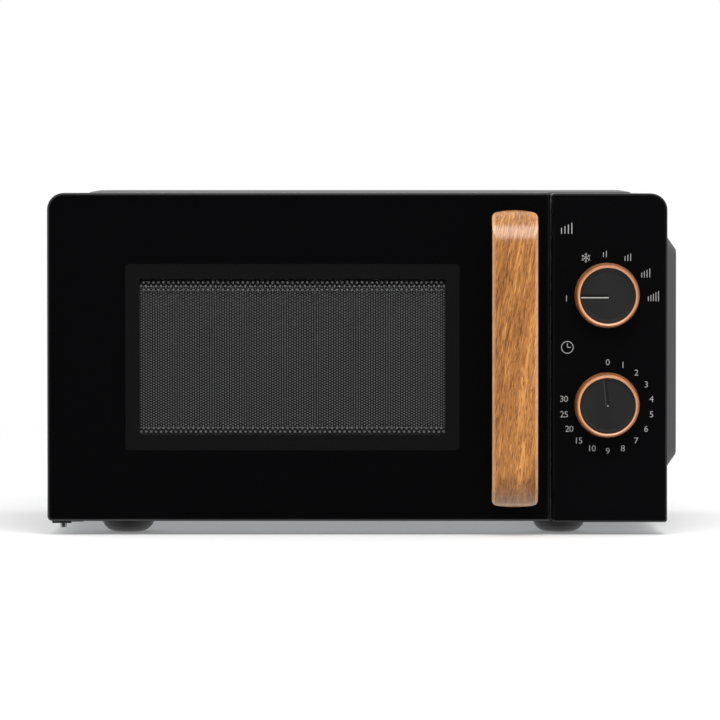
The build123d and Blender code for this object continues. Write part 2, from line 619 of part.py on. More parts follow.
def power_switch_body():
    """Power selector that pulses the magnetron."""
    case = switch_case(POWER_Z, 50, 46, -116)
    return case + [block(KNOB_X - 13 + 10 * i, KNOB_X - 8 + 10 * i, -116, -108, POWER_Z - 12, POWER_Z - 11)
                   for i in range(3)]


def knob_ring(z):
    """Tapered wood-finish skirt of a knob."""
    y0 = FRONT_Y - 0.6
    y1 = FRONT_Y - KNOB_LENGTH
    face_r = KNOB_FACE_R + KNOB_LIP
    return turned_y([(KNOB_BASE_R - 2.2, y0), (KNOB_BASE_R - 0.4, y0), (KNOB_BASE_R, y0 - 0.6),
                     (face_r + 0.7, y1 + 1.8), (face_r + 0.2, y1 + 0.6), (face_r - 0.7, y1),
                     (KNOB_FACE_R + 0.4, y1 + 0.3), (KNOB_FACE_R + 0.05, y1 + 1.2),
                     (KNOB_FACE_R + 0.05, y1 + 5), (KNOB_FACE_R - 0.2, y0)], KNOB_X, z)


def knob_cap(z, angle):
    """Dark insert of a knob: flat face with a raised edge and a pointer groove, and the shaft's hub."""
    y1 = FRONT_Y - KNOB_LENGTH
    cap = turned_y([(0, y1 + 0.7), (KNOB_FACE_R - 3, y1 + 0.7), (KNOB_FACE_R - 0.6, y1 + 0.5),
                    (KNOB_FACE_R, y1 + 1.1), (KNOB_FACE_R, y1 + 4), (6, y1 + 4),
                    (6, FRONT_Y - 0.5), (0, FRONT_Y - 0.5)], KNOB_X, z)
    groove = Pos(KNOB_X, y1 + 0.7, z) * Rot(0, angle, 0) * Pos(0, 0, KNOB_FACE_R / 2 - 0.3)
    cap -= groove * Box(POINTER_WIDTH, 1.8, KNOB_FACE_R - 0.6)
    return cap - rod_y(y1 + 5, FRONT_Y, KNOB_X, z, 3.05)


def knob_shaft(z):
    """Round shaft from the switch behind the panel to the knob's hub."""
    return rod_y(FRONT_Y - KNOB_LENGTH + 5.2, FRONT_Y + FASCIA + WALL + 12, KNOB_X, z, 3)


# Hinges

def lower_hinge():
    """Plate under the door with a pin that points up into it."""
    y1, z1 = FLANGE_Y, DOOR_Z0 - 0.6
    z0 = z1 - HINGE_PLATE
    plate = block(HINGE_X - 8, HINGE_X + 6, HINGE_Y - 6.5, y1, z0, z1)
    plate += block(HINGE_X, HINGE_X + 14, y1 - HINGE_PLATE, y1, z0, 40)
    pin = rod_z(z0 - 3.2, z0, HINGE_X, HINGE_Y, HINGE_TIP_R) + rod_z(z0, 24, HINGE_X, HINGE_Y, HINGE_PIN_R)
    return plate + pin


def upper_hinge():
    """Plate in the slot at the top of the door with a pin that points up."""
    y1, z1 = FLANGE_Y, 237.8
    plate = block(HINGE_X - 8, HINGE_X + 8, HINGE_Y - 6.5, y1, z1 - HINGE_PLATE, z1)
    plate += block(HINGE_X, HINGE_X + 14, y1 - HINGE_PLATE, y1, 208, z1)
    return plate + rod_z(235, 245.5, HINGE_X, HINGE_Y, HINGE_PIN_R)


# Door

def door_outline(inset):
    """Front outline of the door, drawn in by inset."""
    radii = (TOP_CORNER - inset, MEET_CORNER, 3.5 - inset, MEET_CORNER)
    return outline(PANEL_X0 + inset, DOOR_X1 - inset, DOOR_Z0 + inset, DOOR_Z1 - inset, radii)


def handle_screw_places():
    """Middles of the two screws that hold the handle."""
    return [(HANDLE_X + 8, HANDLE_Z1 - HANDLE_THICK / 2), (HANDLE_X + 8, HANDLE_Z0 + HANDLE_THICK / 2)]


def door_frame():
    """Moulded frame that carries the glass, the steel screen, the hooks and the hinge holes."""
    body = from_front(door_outline(0), FRONT_Y, DOOR_BACK)
    body = bevel_front(body, FRONT_Y, EDGE_BEVEL)
    body -= from_front(door_outline(RIM), FRONT_Y - 1, GLASS_BACK)
    body -= block(WINDOW_X - WINDOW_WIDTH / 2 - 4, WINDOW_X + WINDOW_WIDTH / 2 + 4, FRONT_Y, DOOR_BACK + 1,
                  WINDOW_Z - WINDOW_HEIGHT / 2 - 4, WINDOW_Z + WINDOW_HEIGHT / 2 + 4)
    body -= block(SCREEN_X0 - 0.4, SCREEN_X1 + 0.4, SCREEN_Y, DOOR_BACK + 1, SCREEN_Z0 - 0.4, SCREEN_Z1 + 0.4)
    corner = block(PANEL_X0 - 1, HINGE_X, HINGE_Y, DOOR_BACK + 1, DOOR_Z0 - 1, DOOR_Z1 + 1)
    body -= corner - rod_z(DOOR_Z0 - 2, DOOR_Z1 + 2, HINGE_X, HINGE_Y, HINGE_INSET)
    hole_r = HINGE_PIN_R + RUNNING
    body -= rod_z(DOOR_Z0 - 1, 24.5, HINGE_X, HINGE_Y, hole_r)
    body -= rod_z(234, 246, HINGE_X, HINGE_Y, hole_r)
    body -= block(PANEL_X0 - 1, HINGE_X + 10.7, HINGE_Y - 10.9, DOOR_BACK + 1, 234.2, 238.6)
    body -= block(HOOK_X - 6.4, HOOK_X + 6.4, DOOR_BACK - 19, DOOR_BACK + 1, 50, 208)
    for x, z in handle_screw_places():
        body -= rod_y(GLASS_BACK - 1, SCREEN_Y + 2, x, z, 2.3)
        body -= rod_y(SCREEN_Y + 1, DOOR_BACK + 1, x, z, 4.6)
    return body


def door_glass():
    """Black glass front of the door."""
    pane = from_front(door_outline(RIM + 0.1), FRONT_Y, GLASS_BACK)
    return pane - [rod_y(FRONT_Y - 1, GLASS_BACK + 1, x, z, 2.5) for x, z in handle_screw_places()]


def door_screen():
    """Steel screen: flat sheet with a folded choke channel round its edge."""
    back = DOOR_BACK - 2.2
    full = block(SCREEN_X0, SCREEN_X1, SCREEN_Y, back, SCREEN_Z0, SCREEN_Z1)
    full -= block(SCREEN_X0 + SHEET, SCREEN_X1 - SHEET, SCREEN_Y + SHEET, back - SHEET,
                  SCREEN_Z0 + SHEET, SCREEN_Z1 - SHEET)
    lip = CHOKE_LIP
    full -= block(SCREEN_X0 + lip, SCREEN_X1 - lip, back - 2, back + 1, SCREEN_Z0 + lip, SCREEN_Z1 - lip)
    slots = [block(x, x + 3, back - 2, back + 1, z, z + lip - 1)
             for x in steps(SCREEN_X0 + 20, 15, 20) for z in (SCREEN_Z0 + 2, SCREEN_Z1 - lip - 1)]
    return full - slots


def door_film():
    """Clear sheet over the screen on the oven side."""
    gap = CHOKE_WIDTH + 1.6
    return block(SCREEN_X0 + gap, SCREEN_X1 - gap, SCREEN_Y + SHEET, SCREEN_Y + 2 * SHEET,
                 SCREEN_Z0 + gap, SCREEN_Z1 - gap)


def choke_cover():
    """Plastic ring that closes the choke channel, with a skirt round the window recess."""
    y0, y1 = DOOR_BACK - 1.6, DOOR_BACK
    gap = CHOKE_WIDTH
    ring = block(SCREEN_X0 - 0.2, SCREEN_X1 + 0.2, y0, y1, SCREEN_Z0 - 0.2, SCREEN_Z1 + 0.2)
    ring += block(SCREEN_X0 + gap, SCREEN_X1 - gap, SCREEN_Y + SHEET, y1, SCREEN_Z0 + gap, SCREEN_Z1 - gap)
    edge = gap + 1.5
    return ring - block(SCREEN_X0 + edge, SCREEN_X1 - edge, SCREEN_Y, y1 + 1,
                        SCREEN_Z0 + edge, SCREEN_Z1 - edge)


def handle_bar():
    """Bowed bar with rounded ends that curve back to the door, hollow behind for the fingers."""
    z0, z1 = HANDLE_Z0, HANDLE_Z1
    out = FRONT_Y - HANDLE_OUT
    bend, thick = HANDLE_BEND, HANDLE_THICK
    outer = outline(out, FRONT_Y, z0, z1, (bend, 0, bend, 0))
    inner = outline(out + thick, FRONT_Y + 1, z0 + thick, z1 - thick, (bend - thick, 0, bend - thick, 0))
    side = from_side(outer - inner, HANDLE_X - HANDLE_WIDTH / 2, HANDLE_X + HANDLE_WIDTH / 2)
    half, crown, bevel = HANDLE_WIDTH / 2, 2.2, 2.5
    edge = Line((-half, z0 + crown), (-half, z1 - crown))
    edge += ThreePointArc((-half, z1 - crown), (0, z1), (half, z1 - crown))
    edge += Line((half, z1 - crown), (half, z0 + crown))
    edge += ThreePointArc((half, z0 + crown), (0, z0), (-half, z0 + crown))
    face = make_face(edge)
    face = fillet(face.vertices(), 4)
    bar = side & from_front(Pos(HANDLE_X, 0) * face, out - 1, FRONT_Y)
    plan = Polyline((-half, FRONT_Y), (-half, out + bevel), (-half + bevel, out), (half - bevel, out),
                    (half, out + bevel), (half, FRONT_Y), close=True)
    bar = bar & extrude(Pos(HANDLE_X, 0, z0 - 1) * make_face(plan), HANDLE_LENGTH + 2)
    for x, z in handle_screw_places():
        bar -= rod_y(FRONT_Y - 13, FRONT_Y + 1, x, z, 2.05)
    return bar


def handle_screws():
    """Two screws from inside the door into the ends of the handle."""
    seat = SCREEN_Y + 1
    return Compound(children=[rod_y(FRONT_Y - 12, seat, x, z, 2.0) + rod_y(seat, seat + 3, x, z, 4)
                              for x, z in handle_screw_places()])


def latch_hooks():
    """Sliding bar with two hooks that reach into the latch board."""
    y1 = DOOR_BACK - 6
    bar = block(HOOK_X - 4, HOOK_X + 4, y1 - 6, y1, 64, 200)
    for z in HOOK_ZS:
        bar += block(HOOK_X - 3.5, HOOK_X + 3.5, y1 - 1, DOOR_BACK + HOOK_REACH, z - 4, z + 5)
        end = DOOR_BACK + HOOK_REACH
        tip = Polyline((end - 7, z - 8), (end - 2, z - 8), (end + 4, z + 5), (end - 7, z + 5), close=True)
        bar += from_side(make_face(tip), HOOK_X - 3.5, HOOK_X + 3.5)
    return bar


def latch_spring():
    """Coil spring that pulls the hooks down, between the bar and the frame."""
    z0, z1 = 50.4, 63.6
    x, y = HOOK_X, DOOR_BACK - 9
    coil = Helix(pitch=2.6, height=z1 - z0 - 1, radius=2.6)
    start = Plane(origin=coil @ 0, z_dir=coil % 0)
    wire = sweep(start * Circle(0.45), path=coil)
    return Pos(x, y, z0 + 0.5) * wire


# Turntable

def drive_coupler():
    """Three-armed hub on the turntable motor's shaft."""
    stem = rod_z(BASE_TOP + 4.5, AXLE_Z - 2, TURN_X, TURN_Y, 3.4)
    hub = rod_z(CAVITY_Z0 + 0.6, TRAY_Z - 4.5, TURN_X, TURN_Y, 11)
    arm = block(TURN_X, TURN_X + 20, TURN_Y - 3.5, TURN_Y + 3.5, TRAY_Z - 8, TRAY_Z - 0.5)
    return stem + hub + around(arm, TURN_X, TURN_Y, (90, 210, 330)) - rod_z(
        TRAY_Z - 4.5, TRAY_Z, TURN_X, TURN_Y, 5)


def glass_tray():
    """Round glass plate with a raised rim and three drive lugs below."""
    z = TRAY_Z
    r = TRAY_RADIUS
    plate = turned_z([(0, z), (r - 14, z), (r - 7, z + 3.5), (r - 1.5, z + 9.5), (r, z + 12.5),
                      (r - 0.8, z + 14), (r - 2.4, z + 14.2), (r - 4.5, z + 12), (r - 10, z + 7.5),
                      (r - 16, z + 5), (0, z + 5)], TURN_X, TURN_Y)
    lug = block(TURN_X + 14, TURN_X + 20, TURN_Y - 5, TURN_Y + 5, z - 3.5, z)
    return plate + around(lug, TURN_X, TURN_Y, (30, 150, 270))


def roller_ring():
    """Ring with three axle stubs that carry the rollers."""
    ring = rod_z(AXLE_Z - 2, AXLE_Z + 2, TURN_X, TURN_Y, 89)
    ring -= rod_z(AXLE_Z - 3, AXLE_Z + 3, TURN_X, TURN_Y, 84)
    first = TURN_X + ROLLER_PITCH_R
    stub = rod_x(TURN_X + 88, first + 6, TURN_Y, AXLE_Z, 1.9)
    stub += rod_x(TURN_X + 88, first - 4.6, TURN_Y, AXLE_Z, 3.4)
    stub += rod_x(first + 4.6, first + 6.4, TURN_Y, AXLE_Z, 2.9)
    return ring + around(stub, TURN_X, TURN_Y, ROLLER_ANGLES)


def roller(index):
    """Plastic wheel on one axle of the roller ring."""
    first = TURN_X + ROLLER_PITCH_R
    wheel = rod_x(first - 4.2, first + 4.2, TURN_Y, AXLE_Z, ROLLER_R)
    wheel = chamfer(wheel.edges(), 0.6) - rod_x(first - 6, first + 6, TURN_Y, AXLE_Z, 1.9 + RUNNING)
    return around(wheel, TURN_X, TURN_Y, (ROLLER_ANGLES[index],))[0]


NODES = {
    "outer_cabinet": outer_cabinet, "base_plate": base_plate, "feet": feet, "rear_panel": rear_panel,
    "cord_inlet": cord_inlet, "rear_spacer": rear_spacer, "rear_screws": rear_screws,
    "cavity": cavity, "waveguide_cover": waveguide_cover, "waveguide": waveguide,
    "magnetron_tube": magnetron_tube, "magnetron_fins": magnetron_fins, "magnetron_yoke": magnetron_yoke,
    "magnetron_filter_box": magnetron_filter_box, "transformer_core": transformer_core,
    "transformer_windings": transformer_windings, "hv_capacitor": hv_capacitor,
    "capacitor_clamp": capacitor_clamp, "hv_diode": hv_diode, "hv_fuse": hv_fuse,
    "fan_motor": fan_motor, "fan_shroud": fan_shroud, "fan_blade": fan_blade,
    "turntable_motor": turntable_motor, "oven_lamp": oven_lamp, "lamp_holder": lamp_holder,
    "thermal_cutouts": thermal_cutouts, "noise_filter_board": noise_filter_board,
    "latch_board": latch_board, "door_switches": door_switches, "switch_plungers": switch_plungers,
    "interlock_lever": interlock_lever,
    "control_housing": control_housing, "control_fascia": control_fascia, "timer_body": timer_body,
    "timer_bell": timer_bell, "power_switch_body": power_switch_body,
    "lower_hinge": lower_hinge, "upper_hinge": upper_hinge,
    "door_frame": door_frame, "door_glass": door_glass, "door_screen": door_screen,
    "door_film": door_film, "choke_cover": choke_cover, "handle_bar": handle_bar,
    "handle_screws": handle_screws, "latch_hooks": latch_hooks, "latch_spring": latch_spring,
    "drive_coupler": drive_coupler, "glass_tray": glass_tray, "roller_ring": roller_ring,
    "power_knob_ring": lambda: knob_ring(POWER_Z), "power_knob_cap": lambda: knob_cap(POWER_Z, -90),
    "power_shaft": lambda: knob_shaft(POWER_Z),
    "timer_knob_ring": lambda: knob_ring(TIMER_Z), "timer_knob_cap": lambda: knob_cap(TIMER_Z, -5),
    "timer_shaft": lambda: knob_shaft(TIMER_Z),
}

os.makedirs("parts", exist_ok=True)
for name, make in NODES.items():
    export_step(make(), "parts/" + name + ".step")
for number in range(len(ROLLER_ANGLES)):
    export_step(roller(number), "parts/roller_" + str(number + 1) + ".step")
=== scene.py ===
import json
import logging
import math
from dataclasses import dataclass
from enum import Enum
from typing import Iterable, Sequence, Union

import bpy
import numpy as np
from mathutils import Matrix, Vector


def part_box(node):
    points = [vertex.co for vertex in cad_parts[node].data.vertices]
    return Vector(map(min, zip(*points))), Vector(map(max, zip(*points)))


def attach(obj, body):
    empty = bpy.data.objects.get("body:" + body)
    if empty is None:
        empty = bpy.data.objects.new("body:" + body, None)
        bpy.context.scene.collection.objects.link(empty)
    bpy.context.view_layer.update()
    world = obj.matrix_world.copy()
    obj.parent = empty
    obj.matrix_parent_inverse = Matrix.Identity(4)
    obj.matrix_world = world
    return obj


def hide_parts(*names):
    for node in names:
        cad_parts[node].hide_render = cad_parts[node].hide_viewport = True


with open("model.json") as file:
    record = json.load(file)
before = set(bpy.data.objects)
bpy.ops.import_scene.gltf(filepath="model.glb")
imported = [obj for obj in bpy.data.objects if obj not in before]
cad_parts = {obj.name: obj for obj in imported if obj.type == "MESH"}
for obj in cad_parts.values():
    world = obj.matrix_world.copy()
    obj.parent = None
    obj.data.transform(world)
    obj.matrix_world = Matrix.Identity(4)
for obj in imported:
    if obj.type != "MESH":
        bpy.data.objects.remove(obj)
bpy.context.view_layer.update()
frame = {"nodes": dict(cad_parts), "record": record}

# Looks of a countertop microwave oven with a window door, a bowed wood-effect handle and two dials.
# Metres; +X to the right, +Y to the back, +Z up; the door faces -Y. Sizes in the classes are millimetres
# where a name ends in _mm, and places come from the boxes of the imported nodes.

log = logging.getLogger("microwave_looks")
MM = 0.001
Colour = tuple[float, float, float, float]
Socket = bpy.types.NodeSocket
Shape = tuple[np.ndarray, list[np.ndarray]]    # points, and faces as arrays of corner numbers


def srgb(red: int, green: int, blue: int) -> Colour:
    """Turns a screen colour into the linear one that shaders use.

    Args:
        red: Red from 0 to 255.
        green: Green from 0 to 255.
        blue: Blue from 0 to 255.

    Returns:
        Linear red, green, blue and an alpha of 1.
    """
    parts = [c / 12.92 if c <= 0.04045 else ((c + 0.055) / 1.055) ** 2.4
             for c in (red / 255, green / 255, blue / 255)]
    return (parts[0], parts[1], parts[2], 1.0)


def shade(colour: Colour, share: float) -> Colour:
    """A colour times a share, no brighter than white, with an alpha of 1."""
    return tuple(min(1.0, share * part) for part in colour[:3]) + (1.0,)


# Shader kit

class Value:
    """A number in a material's nodes. Python operators on it add Math nodes."""

    def __init__(self, tree: "Tree", socket: Socket) -> None:
        """Wraps one output socket of a tree."""
        self.tree = tree
        self.socket = socket

    def _with(self, operation: str, *terms: Union["Value", float]) -> "Value":
        """Adds a Math node of that operation and returns its result."""
        inputs = dict(enumerate(terms))
        return self.tree.value("ShaderNodeMath", {"operation": operation}, inputs)

    def __add__(self, other: Union["Value", float]) -> "Value":
        """Sum."""
        return self._with("ADD", self, other)

    __radd__ = __add__

    def __sub__(self, other: Union["Value", float]) -> "Value":
        """Difference."""
        return self._with("SUBTRACT", self, other)

    def __rsub__(self, other: float) -> "Value":
        """Difference from a plain number."""
        return self._with("SUBTRACT", other, self)

    def __mul__(self, other: Union["Value", float]) -> "Value":
        """Product."""
        return self._with("MULTIPLY", self, other)

    __rmul__ = __mul__

    def __truediv__(self, other: Union["Value", float]) -> "Value":
        """Quotient."""
        return self._with("DIVIDE", self, other)

    def __lt__(self, other: Union["Value", float]) -> "Value":
        """1 where this is less than the other, else 0."""
        return self._with("LESS_THAN", self, other)

    def __gt__(self, other: Union["Value", float]) -> "Value":
        """1 where this is more than the other, else 0."""
        return self._with("GREATER_THAN", self, other)

    def __abs__(self) -> "Value":
        """Size without its sign."""
        return self._with("ABSOLUTE", self)

    def most(self, other: Union["Value", float]) -> "Value":
        """The larger of the two."""
        return self._with("MAXIMUM", self, other)

    def root(self) -> "Value":
        """Square root."""
        return self._with("SQRT", self)

    def over(self, period: float) -> "Value":
        """Distance from the nearest multiple of a period, from 0 to half of it."""
        return self._with("PINGPONG", self, period / 2)

    def clamp(self, low: float, high: float) -> "Value":
        """Runs evenly from 0 at low to 1 at high, and no further.

        Args:
            low: The value that gives 0.
            high: The value that gives 1.

        Returns:
            The clamped value.
        """
        settings = {"clamp": True}
        inputs = {"Value": self, "From Min": low, "From Max": high, "To Min": 0.0, "To Max": 1.0}
        return self.tree.value("ShaderNodeMapRange", settings, inputs)


class Tree:
    """A node tree of a material or of the world, with one way to add any node."""

    def __init__(self, nodes: bpy.types.NodeTree) -> None:
        """Starts from a node tree."""
        self.nodes = nodes

    def node(self, kind: str, settings: dict, inputs: dict) -> bpy.types.Node:
        """Adds a node, sets it up, and fills its sockets.

        Args:
            kind: The node's type.
            settings: Its properties, with "stops" for a ramp's (place, colour) pairs.
            inputs: Values or links by socket name or number.

        Returns:
            The new node.
        """
        node = self.nodes.nodes.new(kind)
        for name, setting in settings.items():
            if name == "stops":
                self._stops(node.color_ramp.elements, setting)
            else:
                setattr(node, name, setting)
        for name, value in inputs.items():
            self.fill(node.inputs[name], value)
        return node

    def fill(self, socket: Socket, value: object) -> None:
        """Links a socket to a value of this kit or another socket, or sets its number.

        Args:
            socket: The input to fill.
            value: A value of this kit, another socket, or a number or colour.
        """
        if isinstance(value, Value):
            self.nodes.links.new(value.socket, socket)
        elif isinstance(value, bpy.types.NodeSocket):
            self.nodes.links.new(value, socket)
        else:
            socket.default_value = value

    @staticmethod
    def _stops(elements: bpy.types.ColorRampElements, stops: Sequence[tuple[float, Colour]]) -> None:
        """Gives a ramp its stops.

        Args:
            elements: The ramp's own stops.
            stops: The place and colour of each stop.
        """
        while len(elements) > 1:
            elements.remove(elements[-1])
        elements[0].position, elements[0].color = stops[0]
        for place, colour in stops[1:]:
            elements.new(place).color = colour

    def value(self, kind: str, settings: dict, inputs: dict, output: Union[int, str] = 0) -> Value:
        """Adds a node and returns one of its outputs as a number."""
        return Value(self, self.node(kind, settings, inputs).outputs[output])


class Shader(Tree):
    """A material with a Principled surface and the patterns that finishes are made of."""

    def __init__(self, name: str) -> None:
        """Makes the material.

        Args:
            name: The material's name.
        """
        self.material = bpy.data.materials.new(name)
        self.material.use_nodes = True
        super().__init__(self.material.node_tree)
        self.surface = self.nodes.nodes["Principled BSDF"]
        self.point = self.node("ShaderNodeTexCoord", {}, {}).outputs["Object"]

    def place(self) -> tuple[Value, Value, Value]:
        """Returns a point's x, y and z in metres."""
        parts = self.node("ShaderNodeSeparateXYZ", {}, {0: self.point}).outputs
        return Value(self, parts[0]), Value(self, parts[1]), Value(self, parts[2])

    def stretched(self, per_metre: Sequence[float]) -> Socket:
        """Returns the point with each axis times its own number."""
        settings = {"operation": "MULTIPLY"}
        return self.node("ShaderNodeVectorMath", settings, {0: self.point, 1: per_metre}).outputs[0]

    def joined(self, x: Union[Value, float], y: Union[Value, float], z: Union[Value, float]) -> Socket:
        """Returns a vector of three numbers."""
        return self.node("ShaderNodeCombineXYZ", {}, {0: x, 1: y, 2: z}).outputs[0]

    def noise(self, vector: Socket, detail: float = 2.0, rough: float = 0.5, warp: float = 0.0) -> Value:
        """Returns soft noise from 0 to 1, one lump for each unit of the vector."""
        inputs = {"Vector": vector, "Scale": 1.0, "Detail": detail, "Roughness": rough, "Distortion": warp}
        return self.value("ShaderNodeTexNoise", {}, inputs)

    def cells(self, vector: Socket, feature: str = "F1") -> bpy.types.Node:
        """Returns a cell pattern, one cell for each unit of the vector."""
        return self.node("ShaderNodeTexVoronoi", {"feature": feature}, {"Vector": vector, "Scale": 1.0})

    def blend(self, share: Union[Value, float], first: object, second: object, way: str = "MIX") -> Socket:
        """Mixes two colours by a share."""
        settings = {"data_type": "RGBA", "blend_type": way, "clamp_factor": True}
        return self.node("ShaderNodeMix", settings, {0: share, 6: first, 7: second}).outputs[2]

    def ramp(self, share: Value, stops: Sequence[tuple[float, Colour]]) -> Socket:
        """Turns a number into a colour on a ramp."""
        return self.node("ShaderNodeValToRGB", {"stops": stops}, {0: share}).outputs[0]

    def rough(self, height: Value, depth_mm: float, strength: float = 1.0) -> None:
        """Raises the surface by a height from 0 to 1 times a depth.

        Args:
            height: The relief, from 0 to 1.
            depth_mm: How deep the relief is, in millimetres.
            strength: How strongly the relief shows, from 0 to 1.
        """
        inputs = {"Height": height, "Distance": depth_mm * MM, "Strength": strength}
        bump = self.node("ShaderNodeBump", {}, inputs)
        self.fill(self.surface.inputs["Normal"], bump.outputs[0])

    def wear(self, **inputs: object) -> bpy.types.Material:
        """Fills the surface's sockets, named with _ for a space, and returns the material.

        Args:
            inputs: A value, link or number for each socket.

        Returns:
            The material.
        """
        for name, value in inputs.items():
            self.fill(self.surface.inputs[name.replace("_", " ")], value)
        return self.material


# Mesh kit

def outward(points: np.ndarray, faces: Sequence[np.ndarray]) -> list[np.ndarray]:
    """Turns the faces of a closed mesh outwards.

    The enclosed volume is the sum over the fan triangles of a . (b x c) / 6, and it is negative when
    the faces point inwards, so then each face's corners are taken in the other order.

    Args:
        points: Corner places, one row each.
        faces: Arrays of corner numbers, each with faces of one size.

    Returns:
        The faces, pointing outwards.
    """
    volume = 0.0
    centred = points - points.mean(0)
    for block in faces:
        for k in range(1, block.shape[1] - 1):
            a, b, c = centred[block[:, 0]], centred[block[:, k]], centred[block[:, k + 1]]
            volume += float(np.einsum("ij,ij->", a, np.cross(b, c)))
    return [block[:, ::-1] for block in faces] if volume < 0 else list(faces)


def piece(name: str, points: np.ndarray, faces: Sequence[np.ndarray], finish: bpy.types.Material,
          body: str, smooth: bool = False) -> bpy.types.Object:
    """Makes a closed mesh piece that rides on a body.

    Args:
        name: The piece's name.
        points: Corner places in metres, one row each.
        faces: Arrays of corner numbers, each with faces of one size.
        finish: Its material.
        body: The CAD body that it moves with.
        smooth: Whether its faces are shaded smooth.

    Returns:
        The new object, at the origin.
    """
    turned = outward(points, faces)
    mesh = bpy.data.meshes.new(name)
    mesh.vertices.add(len(points))
    mesh.vertices.foreach_set("co", points.astype(np.float32).ravel())
    corners = np.concatenate([block.ravel() for block in turned])
    sizes = np.concatenate([np.full(len(block), block.shape[1]) for block in turned])
    mesh.loops.add(len(corners))
    mesh.loops.foreach_set("vertex_index", corners.astype(np.int32))
    mesh.polygons.add(len(sizes))
    mesh.polygons.foreach_set("loop_start", (np.cumsum(sizes) - sizes).astype(np.int32))
    mesh.polygons.foreach_set("use_smooth", np.full(len(sizes), smooth))
    mesh.update(calc_edges=True)
    mesh.materials.append(finish)
    made = bpy.data.objects.new(name, mesh)
    bpy.context.scene.collection.objects.link(made)
    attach(made, body)
    log.info("%s: %d points, %d faces, on %s", name, len(points), len(sizes), body)
    return made


def loops(rows: int, columns: int, round_rows: bool, round_columns: bool) -> np.ndarray:
    """Numbers the four-sided faces of a grid of points.

    Args:
        rows: Number of rows in the grid.
        columns: Number of points in a row.
        round_rows: Whether the last row joins the first.
        round_columns: Whether a row's last point joins its first.

    Returns:
        Corner numbers of the faces, four in a row.
    """
    i, j = np.meshgrid(np.arange(rows if round_rows else rows - 1),
                       np.arange(columns if round_columns else columns - 1), indexing="ij")
    i, j = i.ravel(), j.ravel()
    down, right = (i + 1) % rows, (j + 1) % columns
    return np.stack([i * columns + j, down * columns + j, down * columns + right, i * columns + right], 1)


def prisms(centres: np.ndarray, outline: np.ndarray, y0: float, y1: float) -> Shape:
    """Puts the same flat prism at many places on a plane of constant y.

    Point k of prism n is centre n plus outline point k, at y0 and again at y1. The faces are the two
    ends and one side between each pair of neighbouring outline points.

    Args:
        centres: x and z of the prisms, one row each.
        outline: x and z of the outline's points about a centre.
        y0: Place of the front end.
        y1: Place of the back end.

    Returns:
        Points and faces.
    """
    count, corners = len(centres), len(outline)
    flat = centres[:, None, None, :] + outline[None, None, :, :]
    flat = np.repeat(flat, 2, 1)
    depth = np.broadcast_to(np.array([y0, y1])[None, :, None, None], (count, 2, corners, 1))
    points = np.concatenate([flat[..., :1], depth, flat[..., 1:]], -1).reshape(-1, 3)
    first = np.arange(count)[:, None] * 2 * corners
    k = np.arange(corners)
    ends = np.concatenate([first + k[None, :], first + (2 * corners - 1 - k)[None, :]])
    after = (k + 1) % corners
    side = np.stack([k, k + corners, after + corners, after], 1)
    sides = (first[:, :, None] + side[None, :, :]).reshape(-1, 4)
    return points, [ends, sides]


def polygon(count: int, radius: float, start: float = 0.0) -> np.ndarray:
    """Corners of a regular polygon: the radius at even steps of angle from a start in degrees."""
    angle = math.radians(start) + 2 * math.pi * np.arange(count) / count
    return radius * np.stack([np.cos(angle), np.sin(angle)], 1)


def framed(profile: np.ndarray, low: np.ndarray, high: np.ndarray) -> Shape:
    """Carries a closed profile round a rectangle with mitred corners.

    A profile point is (inset, y), and at each corner of the rectangle it lies at the corner drawn in
    by the inset along x and z alike.

    Args:
        profile: Inset and y of the profile's points.
        low: Lowest x and z of the rectangle.
        high: Highest x and z of the rectangle.

    Returns:
        Points and faces.
    """
    sign = np.array([(-1, -1), (1, -1), (1, 1), (-1, 1)], float)
    middle, half = (low + high) / 2, (high - low) / 2
    flat = middle + sign[:, None, :] * (half - profile[None, :, :1])
    depth = np.broadcast_to(profile[None, :, 1:], (4, len(profile), 1))
    points = np.concatenate([flat[..., :1], depth, flat[..., 1:]], -1).reshape(-1, 3)
    return points, [loops(4, len(profile), True, True)]


def merged(parts: Iterable[Shape]) -> Shape:
    """Joins several meshes into one list of points and one list of faces.

    Args:
        parts: Each mesh as its points and its faces.

    Returns:
        The points and the faces of one mesh.
    """
    points: list[np.ndarray] = []
    faces: list[np.ndarray] = []
    start = 0
    for some, blocks in parts:
        points.append(some)
        faces += [block + start for block in blocks]
        start += len(some)
    return np.concatenate(points), faces


@dataclass(frozen=True)
class Box:
    """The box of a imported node, in metres."""

    low: np.ndarray
    high: np.ndarray

    @classmethod
    def of(cls, node: str) -> "Box":
        """Reads the box of a node."""
        low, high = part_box(node)
        return cls(np.array(low), np.array(high))

    @property
    def middle(self) -> np.ndarray:
        """Middle of the box."""
        return (self.low + self.high) / 2

    @property
    def size(self) -> np.ndarray:
        """Lengths of the box's sides."""
        return self.high - self.low


# Finishes

class Side(Enum):
    """A half of the screen, by the sign of x about the window's middle."""

    LEFT = -1
    RIGHT = 1


@dataclass(frozen=True)
class PowderCoat:
    """Baked powder paint on sheet metal: a fine even orange peel with faint cloudiness."""

    name: str
    colour: Colour
    roughness: float = 0.5
    lump_mm: float = 0.9
    depth_mm: float = 0.035

    def make(self) -> bpy.types.Material:
        """Builds the material.

        Returns:
            The finished material.
        """
        shader = Shader(self.name)
        peel = shader.noise(shader.stretched([1 / (self.lump_mm * MM)] * 3), 3.0, 0.6)
        cloud = shader.noise(shader.stretched([18.0] * 3), 3.0)
        dark = shade(self.colour, 0.93)
        light = shade(self.colour, 1.05)
        base = shader.blend(cloud.clamp(0.3, 0.7), dark, light)
        shader.rough(peel, self.depth_mm)
        wear_and_sheen = peel * 0.16 + cloud * 0.1 + (self.roughness - 0.13)
        return shader.wear(Base_Color=base, Roughness=wear_and_sheen)


